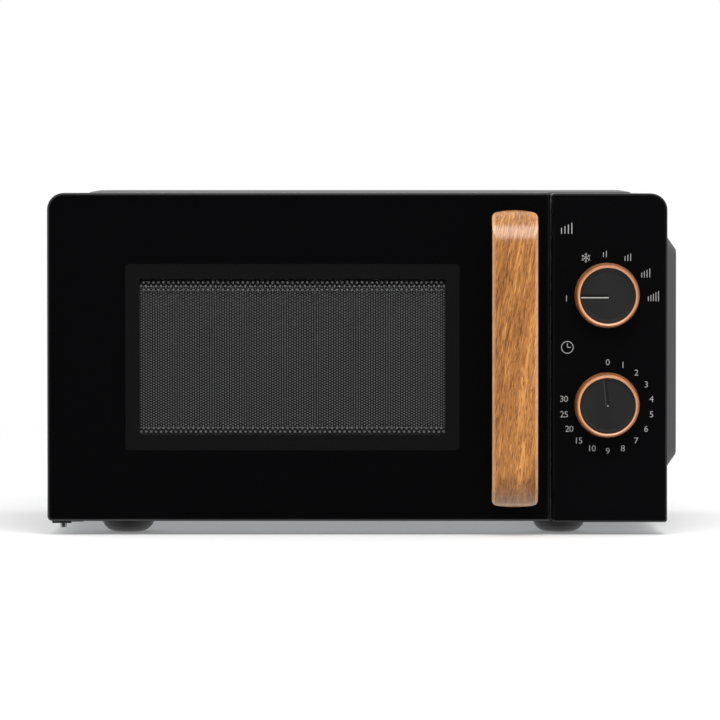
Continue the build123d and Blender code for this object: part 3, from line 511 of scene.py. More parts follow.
@dataclass(frozen=True)
class Moulded:
    """Injection-moulded plastic with a spark-eroded texture and faint flow marks."""

    name: str
    colour: Colour
    roughness: float = 0.42
    texture_mm: float = 0.35
    depth_mm: float = 0.012
    mirror: float = 0.5

    def make(self) -> bpy.types.Material:
        """Builds the material.

        Returns:
            The finished material.
        """
        shader = Shader(self.name)
        fine = shader.noise(shader.stretched([1 / (self.texture_mm * MM)] * 3), 2.0, 0.6)
        flow = shader.noise(shader.stretched([60.0, 60.0, 14.0]), 3.0, 0.5, 0.6)
        dark = shade(self.colour, 0.88)
        light = shade(self.colour, 1.12)
        shader.rough(fine, self.depth_mm)
        wear_and_sheen = fine * 0.12 + flow * 0.1 + (self.roughness - 0.11)
        base = shader.blend(flow.clamp(0.3, 0.7), dark, light)
        return shader.wear(Base_Color=base, Roughness=wear_and_sheen, Specular_IOR_Level=self.mirror)


@dataclass(frozen=True)
class SheetMetal:
    """Bare or plated metal: crystals of the plating, rolling lines along one way, and dull spots."""

    name: str
    colour: Colour
    roughness: float = 0.36
    crystal_mm: float = 7.0
    lines: Sequence[float] = (900.0, 12.0, 12.0)

    def make(self) -> bpy.types.Material:
        """Builds the material.

        Returns:
            The finished material.
        """
        shader = Shader(self.name)
        cell = shader.cells(shader.stretched([1 / (self.crystal_mm * MM)] * 3))
        crystal = Value(shader, cell.outputs["Color"])
        rolled = shader.noise(shader.stretched(self.lines), 2.0)
        dull = shader.noise(shader.stretched([45.0] * 3), 4.0, 0.6)
        dark = shade(self.colour, 0.72)
        base = shader.blend(crystal * 0.6 + rolled * 0.4, dark, self.colour)
        shader.rough(rolled * 0.6 + dull * 0.4, 0.01)
        wear_and_sheen = crystal * 0.14 + dull * 0.22 + (self.roughness - 0.18)
        return shader.wear(Base_Color=base, Roughness=wear_and_sheen, Metallic=1.0)


@dataclass(frozen=True)
class WoodEffect:
    """Lacquered wood-grain film: slanted wavy streaks, fine lines, short dark pores and a warm drift, with
    painted shade and a painted highlight laid over them.
    """

    name: str
    dark: Colour
    middle: Colour
    light: Colour
    # wear_and_sheen: the pale colour of the painted highlight where the film's edges catch the light.
    wear_and_sheen: Colour
    axis: tuple[float, float] = (0.0, 0.0)
    # grey: the colour of the painted shade towards the handle's bottom end.
    grey: Colour = srgb(84, 66, 54)
    streak_mm: float = 2.6
    line_mm: float = 0.8
    wander_mm: float = 5.0
    roughness: float = 0.3

    def _lines(self, shader: Shader) -> tuple[Value, Value, Value, Union[Value, float]]:
        """Gives the distances across and along the grain, and the shares of painted highlight and painted
        shade.
        """
        raise NotImplementedError

    def make(self) -> bpy.types.Material:
        """Builds the material.

        Returns:
            The finished material.
        """
        shader = Shader(self.name)
        across, along, painted_highlight, painted_shade = self._lines(shader)
        x, y, z = shader.place()
        wander = shader.noise(shader.joined(x * 26.0, y * 26.0, z * 9.0), 3.0)
        across = across + wander * (self.wander_mm * MM)
        streak_pitch, line_pitch = 1 / (self.streak_mm * MM), 1 / (self.line_mm * MM)
        broad = shader.noise(shader.joined(across * 75.0, y * 20.0, along * 9.0), 2.0)
        streak = shader.noise(shader.joined(across * streak_pitch, y * 50.0, along * 24.0), 3.0, 0.6, 0.25)
        line = shader.noise(shader.joined(across * line_pitch, y * 160.0, along * 105.0), 2.0, 0.6)
        pore = shader.noise(shader.joined(across * line_pitch * 0.8 + 7.0, y * 200.0, along * 190.0), 1.0)
        vein = abs(streak - 0.5) < 0.014
        tone = broad * 0.22 + streak * 0.36 + line * 0.42
        stops = [(0.0, self.dark), (0.5, self.middle), (1.0, self.light)]
        base = shader.ramp(tone.clamp(0.35, 0.65), stops)
        marks = ((pore > 0.62) * 0.55).most(vein * 0.55)
        # Pores and veins darken the grain. Painted shade then blends it towards grey, and a painted
        # highlight blends it towards the pale colour.
        base = shader.blend(painted_shade, shader.blend(marks, base, self.dark), self.grey)
        base = shader.blend(painted_highlight, base, self.wear_and_sheen)
        shader.rough(line * 0.7 - marks * 0.6, 0.03, 0.6)
        dull = line * 0.12 + broad * 0.1 + (self.roughness - 0.11)
        return shader.wear(Base_Color=base, Roughness=dull, Coat_Weight=0.3, Coat_Roughness=0.18)


@dataclass(frozen=True)
class UprightWood(WoodEffect):
    """Film on the handle: its grain leans further the higher it is, both long edges and the bottom rim get
    a painted highlight where their bevels catch the light, and painted shade greys it towards the bottom.
    """

    half_width: float = 0.0165
    edge_mm: float = 2.1
    lean: tuple[float, float] = (0.05, 0.4)

    def _lines(self, shader: Shader) -> tuple[Value, Value, Value, Union[Value, float]]:
        """Leans the grain: across is x less along times (a + b along), with along the height.

        Args:
            shader: The material's shader kit.

        Returns:
            Across and along the grain, the painted highlight share and the painted shade share.
        """
        x, _, z = shader.place()
        x, along = x - self.axis[0], z - self.axis[1]
        # Painted highlight: the film is lightened along both long edges, where the bevels catch the light,
        # and along the bottom end's rim.
        edge = (abs(x) - (self.half_width - self.edge_mm * MM)).clamp(-0.0002, 0.0004)
        end = 1.0 - along.clamp(0.0005, 0.0035)
        # Painted shade: the film greys towards the bottom end, fading out about 26 mm up.
        painted_shade = (1.0 - along.clamp(0.006, 0.026)) * 0.5
        return x - along * (along * self.lean[1] + self.lean[0]), along, edge.most(end) * 0.3, painted_shade


@dataclass(frozen=True)
class RoundWood(WoodEffect):
    """Film on the two knob rings: lines round each knob's axis, and a painted highlight along the inner
    lip.

    The rings lie one above the other about the axis given, so a height is folded: its distance from
    the axis less half of the distance between the knobs.
    """

    apart: float = 0.08
    lip: float = 0.0215

    def _lines(self, shader: Shader) -> tuple[Value, Value, Value, Union[Value, float]]:
        """Runs the grain round each knob: across is the distance from its axis and a part of the depth.

        Args:
            shader: The material's shader kit.

        Returns:
            Across and along the grain, the painted highlight share, and a painted shade share of none.
        """
        x, y, z = shader.place()
        x, z = x - self.axis[0], abs(z - self.axis[1]) - self.apart / 2
        radius = (x * x + z * z).root()
        # Painted highlight: a pale band along the ring's inner lip, where its bevel catches the light.
        painted_highlight = 1.0 - radius.clamp(self.lip - 0.0003, self.lip + 0.0003)
        return radius + y * 0.6, (x + z) * 0.5, painted_highlight * 0.55, 0.0


@dataclass(frozen=True)
class BlackGlass:
    """Tempered glass with a black print behind it: faint ripple, fine dust and wiping streaks."""

    name: str
    colour: Colour
    roughness: float = 0.05
    mirror: float = 0.3

    def marks(self, shader: Shader) -> Value:
        """Gives the glass its ripple and returns its roughness.

        Args:
            shader: The material's shader kit.

        Returns:
            The roughness over the glass.
        """
        ripple = shader.noise(shader.stretched([9.0] * 3), 2.0)
        wiped = shader.noise(shader.stretched([26.0, 26.0, 110.0]), 4.0, 0.6, 0.8)
        dust = shader.noise(shader.stretched([1400.0] * 3), 1.0)
        shader.rough(ripple, 0.05, 0.5)
        return wiped * 0.05 + (dust > 0.72) * 0.05 + self.roughness

    def make(self) -> bpy.types.Material:
        """Builds the material.

        Returns:
            The finished material.
        """
        shader = Shader(self.name)
        wear_and_sheen = self.marks(shader)
        drift = shader.noise(shader.stretched([7.0] * 3), 2.0)
        lighter = shade(self.colour, 1.3)
        base = shader.blend(drift, self.colour, lighter)
        return shader.wear(Base_Color=base, Roughness=wear_and_sheen, Specular_IOR_Level=self.mirror)


@dataclass(frozen=True)
class WindowGlass(BlackGlass):
    """Door glass with a dark grey border round a smoke-grey see-through field."""

    border: Colour = (0.01, 0.01, 0.01, 1.0)
    middle: tuple[float, float] = (0.0, 0.0)
    window: tuple[float, float] = (0.1, 0.1)
    field: tuple[float, float] = (0.1, 0.1)
    smoke: float = 0.3

    @staticmethod
    def _inside(x: Value, z: Value, size: tuple[float, float], corner: float) -> Value:
        """1 inside a rounded rectangle about the middle, else 0.

        Args:
            x: The place across the middle.
            z: The place above the middle.
            size: The rectangle's width and height.
            corner: The radius of its corners.

        Returns:
            The mask.
        """
        dx = (abs(x) - (size[0] / 2 - corner)).most(0.0)
        dz = (abs(z) - (size[1] / 2 - corner)).most(0.0)
        return (dx * dx + dz * dz) < corner * corner

    def make(self) -> bpy.types.Material:
        """Builds the material.

        Returns:
            The finished material.
        """
        shader = Shader(self.name)
        wear_and_sheen = self.marks(shader)
        x, _, z = shader.place()
        x, z = x - self.middle[0], z - self.middle[1]
        window = self._inside(x, z, self.window, 2.2 * MM)
        field = self._inside(x, z, self.field, 1.2 * MM)
        speck = shader.noise(shader.stretched([2500.0] * 3), 2.0)
        border = shader.blend(speck.clamp(0.35, 0.65), shade(self.border, 0.8), self.border)
        base = shader.blend(window, self.colour, border)
        cover = 1.0 - field * (1.0 - self.smoke)
        return shader.wear(Base_Color=base, Roughness=wear_and_sheen, Alpha=cover, Specular_IOR_Level=self.mirror)


@dataclass(frozen=True)
class ClearSheet:
    """Thin clear plastic or glass that shows by its gloss, scratches and a little haze."""

    name: str
    colour: Colour
    cover: float = 0.25
    roughness: float = 0.12

    def make(self) -> bpy.types.Material:
        """Builds the material.

        Returns:
            The finished material.
        """
        shader = Shader(self.name)
        haze = shader.noise(shader.stretched([40.0] * 3), 4.0, 0.6)
        scratch = shader.noise(shader.stretched([900.0, 900.0, 14.0]), 2.0, 0.5, 1.5)
        shader.rough(scratch, 0.008)
        cover = haze * 0.12 + (scratch > 0.66) * 0.08 + (self.cover - 0.06)
        wear_and_sheen = haze * 0.16 + self.roughness
        return shader.wear(Base_Color=self.colour, Roughness=wear_and_sheen, Alpha=cover)


@dataclass(frozen=True)
class TrayGlass:
    """Pressed clear glass with rings of a mould and a faint green edge."""

    name: str
    colour: Colour
    middle: tuple[float, float]
    ring_mm: float = 9.0

    def make(self) -> bpy.types.Material:
        """Builds the material.

        Returns:
            The finished material.
        """
        shader = Shader(self.name)
        x, y, _ = shader.place()
        x, y = x - self.middle[0], y - self.middle[1]
        radius = (x * x + y * y).root()
        ring = radius.over(self.ring_mm * MM) / (self.ring_mm * MM / 2)
        wave = shader.noise(shader.stretched([70.0] * 3), 3.0)
        shader.rough(ring * 0.7 + wave * 0.3, 0.12, 0.7)
        wear_and_sheen = wave * 0.08 + 0.03
        return shader.wear(Base_Color=self.colour, Roughness=wear_and_sheen, Transmission_Weight=1.0, IOR=1.5)


@dataclass(frozen=True)
class Enamel:
    """Speckled enamel on the oven's inside, glossy with pinholes."""

    name: str
    colour: Colour
    speck: Colour
    roughness: float = 0.28

    def make(self) -> bpy.types.Material:
        """Builds the material.

        Returns:
            The finished material.
        """
        shader = Shader(self.name)
        speckle = shader.noise(shader.stretched([520.0] * 3), 2.0, 0.7)
        cloud = shader.noise(shader.stretched([22.0] * 3), 3.0)
        peel = shader.noise(shader.stretched([420.0] * 3), 2.0)
        base = shader.blend((speckle > 0.6) * 0.7 + cloud * 0.15, self.colour, self.speck)
        shader.rough(peel, 0.03)
        wear_and_sheen = peel * 0.12 + cloud * 0.12 + (self.roughness - 0.12)
        return shader.wear(Base_Color=base, Roughness=wear_and_sheen)


@dataclass(frozen=True)
class Windings:
    """Enamelled copper wire laid side by side in level turns, with painted shade in the creases between
    turns.
    """

    name: str
    colour: Colour
    wire_mm: float = 1.3

    def make(self) -> bpy.types.Material:
        """Builds the material.

        Returns:
            The finished material.
        """
        shader = Shader(self.name)
        _, _, z = shader.place()
        wire = z.over(self.wire_mm * MM) / (self.wire_mm * MM / 2)
        uneven = shader.noise(shader.stretched([90.0, 90.0, 700.0]), 2.0)
        # Painted shade: the colour darkens to a quarter in the creases between neighbouring turns.
        dark = shade(self.colour, 0.25)
        base = shader.blend(wire * 0.7 + uneven * 0.3, dark, self.colour)
        shader.rough(wire, 0.4)
        return shader.wear(Base_Color=base, Roughness=uneven * 0.2 + 0.25, Metallic=0.6)


@dataclass(frozen=True)
class Laminations:
    """Stack of thin steel sheets under varnish."""

    name: str
    colour: Colour
    sheet_mm: float = 0.9

    def make(self) -> bpy.types.Material:
        """Builds the material.

        Returns:
            The finished material.
        """
        shader = Shader(self.name)
        _, y, _ = shader.place()
        sheet = y.over(self.sheet_mm * MM) / (self.sheet_mm * MM / 2)
        rust = shader.noise(shader.stretched([55.0] * 3), 5.0, 0.65)
        warm = (self.colour[0] * 1.4, self.colour[1] * 0.8, self.colour[2] * 0.5, 1.0)
        base = shader.blend(rust.clamp(0.5, 0.75), self.colour, warm)
        shader.rough(sheet, 0.15)
        return shader.wear(Base_Color=base, Roughness=rust * 0.3 + 0.3, Metallic=0.7)


@dataclass(frozen=True)
class Print:
    """Screen-printed ink: slightly uneven, with soft gloss."""

    name: str
    colour: Colour

    def make(self) -> bpy.types.Material:
        """Builds the material.

        Returns:
            The finished material.
        """
        shader = Shader(self.name)
        weave = shader.noise(shader.stretched([3000.0] * 3), 1.0)
        dark = shade(self.colour, 0.8)
        shader.rough(weave, 0.004)
        base = shader.blend(weave, dark, self.colour)
        return shader.wear(Base_Color=base, Roughness=weave * 0.15 + 0.4)


# Sub-assemblies

def dress(paints: dict[str, bpy.types.Material], own: dict[str, bpy.types.Material]) -> None:
    """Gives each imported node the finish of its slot, or its own where it has one.

    Args:
        paints: Materials by the record's slot names.
        own: Materials by node name.
    """
    for part in frame["record"]["subparts"]:
        node = frame["nodes"][part["node"]]
        finish = own.get(part["node"], paints[part["material_slot"]])
        for slot in node.material_slots:
            slot.material = finish
        if not node.material_slots:
            node.data.materials.append(finish)


@dataclass
class Window:
    """The door's window: printed dots on the glass and the perforated steel screen behind it."""

    window_mm: tuple[float, float] = (242.9, 135.5)
    field_mm: tuple[float, float] = (223.0, 114.0)
    dot_pitch_mm: tuple[float, float] = (3.61, 2.65)
    dot_radius_mm: float = 0.95
    dot_rows: tuple[int, int] = (3, 2)
    hole_pitch_mm: tuple[float, float] = (1.806, 1.948)
    hole_radius_mm: float = 0.58
    holes_inset_mm: tuple[float, float] = (0.0, 5.2)
    dot_margin_mm: float = 0.5
    ink_mm: tuple[float, float] = (0.02, 0.06)
    sheet_mm: float = 0.8
    lip_mm: float = 12.0

    def __post_init__(self) -> None:
        """Finds the window's middle from the door screen and the door frame."""
        self.door = Box.of("door_frame")
        self.screen = Box.of("door_screen")
        self.glass = Box.of("door_glass")
        self.middle = (float(self.screen.middle[0]), float(self.door.middle[2]))

    def glass_finish(self) -> bpy.types.Material:
        """Makes the door glass's material, with the window's borders in their places.

        Returns:
            The door glass's material.
        """
        size = (self.window_mm[0] * MM, self.window_mm[1] * MM)
        field = (self.field_mm[0] * MM, self.field_mm[1] * MM)
        return WindowGlass("door_glass_black", srgb(4, 4, 5), 0.045, border=srgb(17, 17, 18),
                           middle=self.middle, window=size, field=field, smoke=0.12).make()

    def _lattice(self, size: np.ndarray, pitch: np.ndarray) -> np.ndarray:
        """Staggered points that fill a rectangle.

        Column i and row j lie at i times the first pitch and j times the second, and odd columns are
        moved up by half of the second.

        Args:
            size: Width and height of the rectangle.
            pitch: Steps between columns and between the points of a column.

        Returns:
            x and z of the points.
        """
        columns, rows = np.floor(size / pitch).astype(int)
        i, j = np.meshgrid(np.arange(columns), np.arange(rows), indexing="ij")
        x = (i - (columns - 1) / 2) * pitch[0]
        z = (j - (rows - 1) / 2 + np.where(i % 2, 0.25, -0.25)) * pitch[1]
        return np.stack([x.ravel(), z.ravel()], 1) + np.array(self.middle)

    def dots(self, finish: bpy.types.Material) -> None:
        """Adds the rows of large staggered dots printed on the glass above and below the holes.

        Args:
            finish: The material of the printed dots.
        """
        pitch = np.array([self.dot_pitch_mm[0] / 2, 2 * self.dot_pitch_mm[1]]) * MM
        centres = self._lattice(np.array(self.field_mm) * MM, pitch)
        above, below = (n * self.dot_pitch_mm[1] * MM for n in self.dot_rows)
        low, high = centres[:, 1].min(), centres[:, 1].max()
        margin = self.dot_margin_mm * MM
        upper, lower = high - above + margin, low + below - margin
        centres = centres[(centres[:, 1] > upper) | (centres[:, 1] < lower)]
        back = float(self.glass.high[1])
        outline = polygon(6, self.dot_radius_mm * MM)
        points, faces = prisms(centres, outline, *(back + depth * MM for depth in self.ink_mm))
        piece("window_dots", points, faces, finish, "door")

    def _holes(self, centres: np.ndarray) -> Shape:
        """Sheet cells with a six-sided hole each, of the staggered lattice.

        A cell is a rectangle with two more points half way up its sides, where its neighbours' corners
        meet it. Its six points join the hole's six points in both faces of the sheet, and the hole's
        points join front to back.

        Args:
            centres: x and z of the holes.

        Returns:
            Points and faces.
        """
        a, b = np.array(self.hole_pitch_mm) * MM / 2
        cell = np.array([(a, 0), (a, b), (-a, b), (-a, 0), (-a, -b), (a, -b)])
        hole = polygon(6, self.hole_radius_mm * MM)
        ring = np.concatenate([cell, hole])
        y0 = float(self.screen.low[1])
        depth = np.array([y0, y0 + self.sheet_mm * MM])
        flat = np.repeat((centres[:, None, :] + ring[None, :, :])[:, None], 2, 1)
        deep = np.broadcast_to(depth[None, :, None, None], flat.shape[:3] + (1,))
        points = np.concatenate([flat[..., :1], deep, flat[..., 1:]], -1).reshape(-1, 3)
        k = np.arange(6)
        after = (k + 1) % 6
        front = np.stack([k, after, after + 6, k + 6], 1)
        back = np.stack([k + 12, k + 18, after + 18, after + 12], 1)
        wall = np.stack([k + 6, after + 6, after + 18, k + 18], 1)
        cells = np.concatenate([front, back, wall])
        first = np.arange(len(centres)) * 24
        return points, [(first[:, None, None] + cells[None]).reshape(-1, 4)]

    def steel(self, finish: bpy.types.Material) -> None:
        """Adds the screen: two halves of perforated sheet, and the pan with its folded channel.

        Args:
            finish: The material of the steel sheet.
        """
        size = (np.array(self.field_mm) - 2 * np.array(self.holes_inset_mm)) * MM
        pitch = np.array(self.hole_pitch_mm) * MM
        centres = self._lattice(size, pitch)
        for side in Side:
            keep = (centres[:, 0] >= self.middle[0]) == (side is Side.RIGHT)
            points, faces = self._holes(centres[keep])
            half = piece(f"screen_holes_{side.name.lower()}", points, faces, finish, "door")
        low, high = self.screen.low[[0, 2]], self.screen.high[[0, 2]]
        span = np.array([np.ptp(centres[:, 0]), np.ptp(centres[:, 1])]) + pitch * np.array([1.0, 0.5])
        y0, y1 = float(self.screen.low[1]), float(self.screen.high[1])
        sheet, lip = self.sheet_mm * MM, self.lip_mm * MM
        channel = np.array([(0, y0), (0, y1), (lip, y1), (lip, y1 - sheet), (sheet, y1 - sheet),
                            (sheet, y0 + sheet), (lip, y0 + sheet), (lip, y0)])
        pan = framed(channel, low, high)
        inner_low = np.array(self.middle) - span / 2
        inner_high = np.array(self.middle) + span / 2
        points, faces = merged([pan, self._apron(low + lip, high - lip, inner_low, inner_high, y0, sheet)])
        made = piece("screen_pan", points, faces, finish, "door")
        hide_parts("door_screen")

    @staticmethod
    def _apron(low: np.ndarray, high: np.ndarray, hole_low: np.ndarray, hole_high: np.ndarray,
               y0: float, sheet: float) -> Shape:
        """Flat sheet between an outer and an inner rectangle.

        Four corners of each rectangle lie at the front and again at the back, and neighbouring corners
        are joined in the order outer front, inner front, inner back, outer back.

        Args:
            low: Lowest x and z outside.
            high: Highest x and z outside.
            hole_low: Lowest x and z of the opening.
            hole_high: Highest x and z of the opening.
            y0: Place of the front.
            sheet: Thickness.

        Returns:
            Points and faces.
        """
        pick = np.array([(0, 0), (1, 0), (1, 1), (0, 1)])
        outer = np.where(pick == 0, low, high)
        inner = np.where(pick == 0, hole_low, hole_high)
        corners = np.stack([outer, inner, inner, outer], 1)
        depth = np.broadcast_to(np.array([y0, y0, y0 + sheet, y0 + sheet])[None, :, None], (4, 4, 1))
        points = np.concatenate([corners[..., :1], depth, corners[..., 1:]], -1).reshape(-1, 3)
        return points, [loops(4, 4, True, True)]


@dataclass
class Scale:
    """Printed marks round one dial: bars, numbers and small signs, all generic."""

    node: str
    ink: bpy.types.Material
    middle_mm: tuple[float, float] = (0.0, 0.0)
    proud_mm: float = 0.03
    panel_node: str = "control_fascia"
    digit_gap: float = 0.9
    digit_width: float = 1.06
    digit_thinned: float = 0.008

    def __post_init__(self) -> None:
        """Finds the dial's axis and the panel's face."""
        middle = Box.of(self.node).middle
        self.axis = np.array([middle[0], middle[2]]) + np.array(self.middle_mm) * MM
        self.face = float(Box.of(self.panel_node).low[1])

    def _flat(self, outline_mm: np.ndarray) -> Shape:
        """Makes a thin prism of an outline given in millimetres from the dial's axis."""
        return prisms(self.axis[None, :], outline_mm * MM, self.face - self.proud_mm * MM, self.face)

    def bars(self, x_mm: float, z_mm: float, count: int, pitch_mm: float, first_mm: float,
             step_mm: float, width_mm: float = 0.55) -> list[Shape]:
        """Upright bars on one base line, each a step taller than the last.

        Args:
            x_mm: Middle of the group, from the axis.
            z_mm: The base line, from the axis.
            count: Number of bars.
            pitch_mm: Distance from bar to bar.
            first_mm: Height of the first.
            step_mm: How much taller each next bar is.
            width_mm: Width of a bar.

        Returns:
            The bars' meshes.
        """
        made = []
        for k in range(count):
            x = x_mm + (k - (count - 1) / 2) * pitch_mm
            top = z_mm + first_mm + k * step_mm
            half = width_mm / 2
            made.append(self._flat(np.array([(x - half, z_mm), (x + half, z_mm), (x + half, top),
                                             (x - half, top - 0.25 * width_mm)])))
        return made

    def strip(self, start: tuple[float, float], end: tuple[float, float],
              width_mm: float) -> Shape:
        """A straight printed line between two points in millimetres from the axis.

        Args:
            start: One end, across and up.
            end: The other end.
            width_mm: The line's width.

        Returns:
            The line's points and faces.
        """
        a, b = np.array(start), np.array(end)
        along = (b - a) / np.linalg.norm(b - a)
        side = np.array([-along[1], along[0]]) * width_mm / 2
        return self._flat(np.array([a - side, b - side, b + side, a + side]))

    def hoop(self, x_mm: float, z_mm: float, radius_mm: float, width_mm: float,
             points: int = 40) -> Shape:
        """A printed ring: a flat square section carried round a circle.

        Args:
            x_mm: The ring's middle, across from the axis.
            z_mm: The ring's middle, up from the axis.
            radius_mm: The ring's radius.
            width_mm: The printed line's width.
            points: How many points go round.

        Returns:
            The ring's points and faces.
        """
        centre = self.axis + np.array([x_mm, z_mm]) * MM
        inner = polygon(points, (radius_mm - width_mm) * MM) + centre
        outer = polygon(points, radius_mm * MM) + centre
        rows = np.stack([outer, inner, inner, outer], 1)
        y = np.array([self.face - self.proud_mm * MM] * 2 + [self.face] * 2)
        depth = np.broadcast_to(y[None, :, None], (points, 4, 1))
        grid = np.concatenate([rows[..., :1], depth, rows[..., 1:]], -1).reshape(-1, 3)
        return grid, [loops(points, 4, True, True)]

    def number(self, text: str, x_mm: float, z_mm: float, height_mm: float) -> Shape:
        """A number in the plain built-in face, centred on a point.

        Its flat mesh has x to the right and y up, which become x and z on the panel; the front and
        back faces are its own faces, moved apart by the ink's thickness.

        Args:
            text: The digits.
            x_mm: Middle of the number, from the axis.
            z_mm: Middle of the number, from the axis.
            height_mm: Height of a digit.

        Returns:
            Points and faces.
        """
        curve = bpy.data.curves.new("digits", "FONT")
        curve.body = text
        curve.align_x = "CENTER"
        curve.size = 1.0
        curve.extrude = 0.01
        curve.resolution_u = 3
        curve.offset = -self.digit_thinned
        curve.space_character = self.digit_gap
        holder = bpy.data.objects.new("digits", curve)
        mesh = bpy.data.meshes.new_from_object(holder)
        flat = np.zeros(len(mesh.vertices) * 3)
        mesh.vertices.foreach_get("co", flat)
        flat = flat.reshape(-1, 3)
        mesh.calc_loop_triangles()
        corners = np.zeros(len(mesh.loop_triangles) * 3, np.int32)
        mesh.loop_triangles.foreach_get("vertices", corners)
        low, high = flat.min(0), flat.max(0)
        scale = height_mm * MM / (high[1] - low[1])
        middle = (high + low) / 2
        x = self.axis[0] + x_mm * MM + (flat[:, 0] - middle[0]) * scale * self.digit_width
        z = self.axis[1] + z_mm * MM + (flat[:, 1] - middle[1]) * scale
        y = np.where(flat[:, 2] > 0, self.face - self.proud_mm * MM, self.face)
        bpy.data.objects.remove(holder)
        bpy.data.curves.remove(curve)
        bpy.data.meshes.remove(mesh)
        return np.stack([x, y, z], 1), [corners.reshape(-1, 3)]

    def add(self, name: str, parts: list[Shape]) -> None:
        """Joins the printed parts into one piece on the panel.

        Args:
            name: The new piece's name.
            parts: The printed parts to join.
        """
        for k, (points, faces) in enumerate(parts):
            parts[k] = (points, outward(points, faces))
        points, faces = merged(parts)
        piece(name, points, faces, self.ink, "cabinet")


@dataclass
class PowerDial(Scale):
    """The power selector's marks: one to five bars, a snow sign and a power sign."""

    radius_mm: float = 33.0
    groups: tuple[tuple[int, float, float], ...] = (     # bars, degrees from the top, further out
        (1, -90.0, -3.4), (2, -3.0, -0.8), (3, 27.0, 0.0), (4, 58.0, 0.0), (5, 89.0, 0.6))
    sign_mm: tuple[float, float] = (-29.5, 46.6)
    snow_angle: float = -28.0
    snow_mm: float = 3.5
    snow_line_mm: float = 0.5
    twig_mm: float = 1.2
    twig_line_mm: float = 0.4
    twig_lean: float = 50.0

    def build(self) -> None:
        """Adds the marks, each at its own angle clockwise from the top."""
        parts: list[Shape] = []
        for count, angle, further in self.groups:
            turn, radius = math.radians(angle), self.radius_mm + further
            drop, first = 3.0 if count == 5 else 2.6, 4.4 if count == 1 else 3.6
            parts += self.bars(radius * math.sin(turn), radius * math.cos(turn) - drop, count,
                               pitch_mm=2.3 - 0.09 * count, first_mm=first, step_mm=0.95)
        turn = math.radians(self.snow_angle)
        parts += self.snow(self.radius_mm * math.sin(turn), self.radius_mm * math.cos(turn), self.snow_mm)
        parts += self.bars(*self.sign_mm, count=4, pitch_mm=2.5, first_mm=4.4, step_mm=1.2, width_mm=0.7)
        self.add("power_marks", parts)

    def snow(self, x_mm: float, z_mm: float, radius_mm: float) -> list[Shape]:
        """Three crossed lines with a short pair of twigs at each end.

        Args:
            x_mm: Middle, from the axis.
            z_mm: Middle, from the axis.
            radius_mm: Half the length of a line.

        Returns:
            The lines' meshes.
        """
        made = []
        for degrees in range(30, 390, 60):
            turn = math.radians(degrees)
            tip = (x_mm + radius_mm * math.cos(turn), z_mm + radius_mm * math.sin(turn))
            if degrees < 180:
                back = (2 * x_mm - tip[0], 2 * z_mm - tip[1])
                made.append(self.strip(back, tip, self.snow_line_mm))
            knot = (x_mm + 0.55 * radius_mm * math.cos(turn), z_mm + 0.55 * radius_mm * math.sin(turn))
            for lean in (-self.twig_lean, self.twig_lean):
                bent = turn + math.radians(lean)
                twig = (knot[0] + self.twig_mm * math.cos(bent), knot[1] + self.twig_mm * math.sin(bent))
                made.append(self.strip(knot, twig, self.twig_line_mm))
        return made


@dataclass
class TimerDial(Scale):
    """The timer's numbers, clockwise from nought at the top, and a clock sign."""

    minutes: tuple[int, ...] = (0, 1, 2, 3, 4, 5, 6, 7, 8, 9, 10, 15, 20, 25, 30)
    step: float = 20.0
    radius_mm: float = 32.3
    digit_mm: float = 4.35
    clock_mm: tuple[float, float] = (-29.4, 43.1)
    clock_radius_mm: float = 4.55
    hands_mm: tuple[float, float] = (3.0, 2.5)
    line_mm: float = 0.55

    def build(self) -> None:
        """Adds a number at each step, and the clock above on the left."""
        parts: list[Shape] = []
        for k, minute in enumerate(self.minutes):
            turn = math.radians(k * self.step)
            x, z = self.radius_mm * math.sin(turn), self.radius_mm * math.cos(turn)
            parts.append(self.number(str(minute), x, z, self.digit_mm))
        x, z = self.clock_mm
        upright, level = self.hands_mm
        parts.append(self.hoop(x, z, self.clock_radius_mm, self.line_mm))
        parts.append(self.strip((x, z - self.line_mm / 2), (x, z + upright), self.line_mm))
        parts.append(self.strip((x - self.line_mm / 2, z), (x + level, z), self.line_mm))
        self.add("timer_numbers", parts)


@dataclass
class Pointer:
    """A pale strip along one side of a knob's pointer groove, a painted highlight where that wall of the
    groove catches the light, and the dot in the face's middle.
    """

    node: str
    body: str
    angle: float
    # ink: the material of the painted highlight strip.
    ink: bpy.types.Material
    aside_mm: float = 0.95
    width_mm: float = 0.75
    length_mm: float = 20.0
    start_mm: float = -0.5
    face_mm: float = 0.2
    sunk_mm: float = 0.03
    dot_mm: float = 0.5
    ink_mm: float = 0.02

    def build(self) -> None:
        """Adds the line: a thin box along the groove's direction, on the lower or left side of it, as a
        painted highlight on the wall that catches the light.

        With u the direction from the axis to the knob's edge and v square to it, the line runs from
        start to start plus length along u, and from aside to aside plus its width along -v.
        """
        box = Box.of(self.node)
        axis = box.middle[[0, 2]]
        turn = math.radians(self.angle)
        u = np.array([math.sin(turn), math.cos(turn)])
        v = np.array([math.cos(turn), -math.sin(turn)])
        near = self.start_mm * u - self.aside_mm * v
        far = near + self.length_mm * u
        outline = np.array([near, far, far - v * self.width_mm, near - v * self.width_mm]) * MM
        front = float(box.low[1])
        points, faces = prisms(axis[None, :], outline, front, front + (self.face_mm + self.sunk_mm) * MM)
        piece(f"{self.body}_pointer", points, faces, self.ink, self.body)

    def dot(self, finish: bpy.types.Material) -> None:
        """Adds a small pale dot in the middle of the face.

        Args:
            finish: The material of the dot.
        """
        box = Box.of(self.node)
        face = float(box.low[1]) + self.face_mm * MM
        outline, ink = polygon(12, self.dot_mm * MM), self.ink_mm * MM
        points, faces = prisms(box.middle[None, [0, 2]], outline, face - ink, face + ink)
        piece(f"{self.body}_dot", points, faces, finish, self.body)


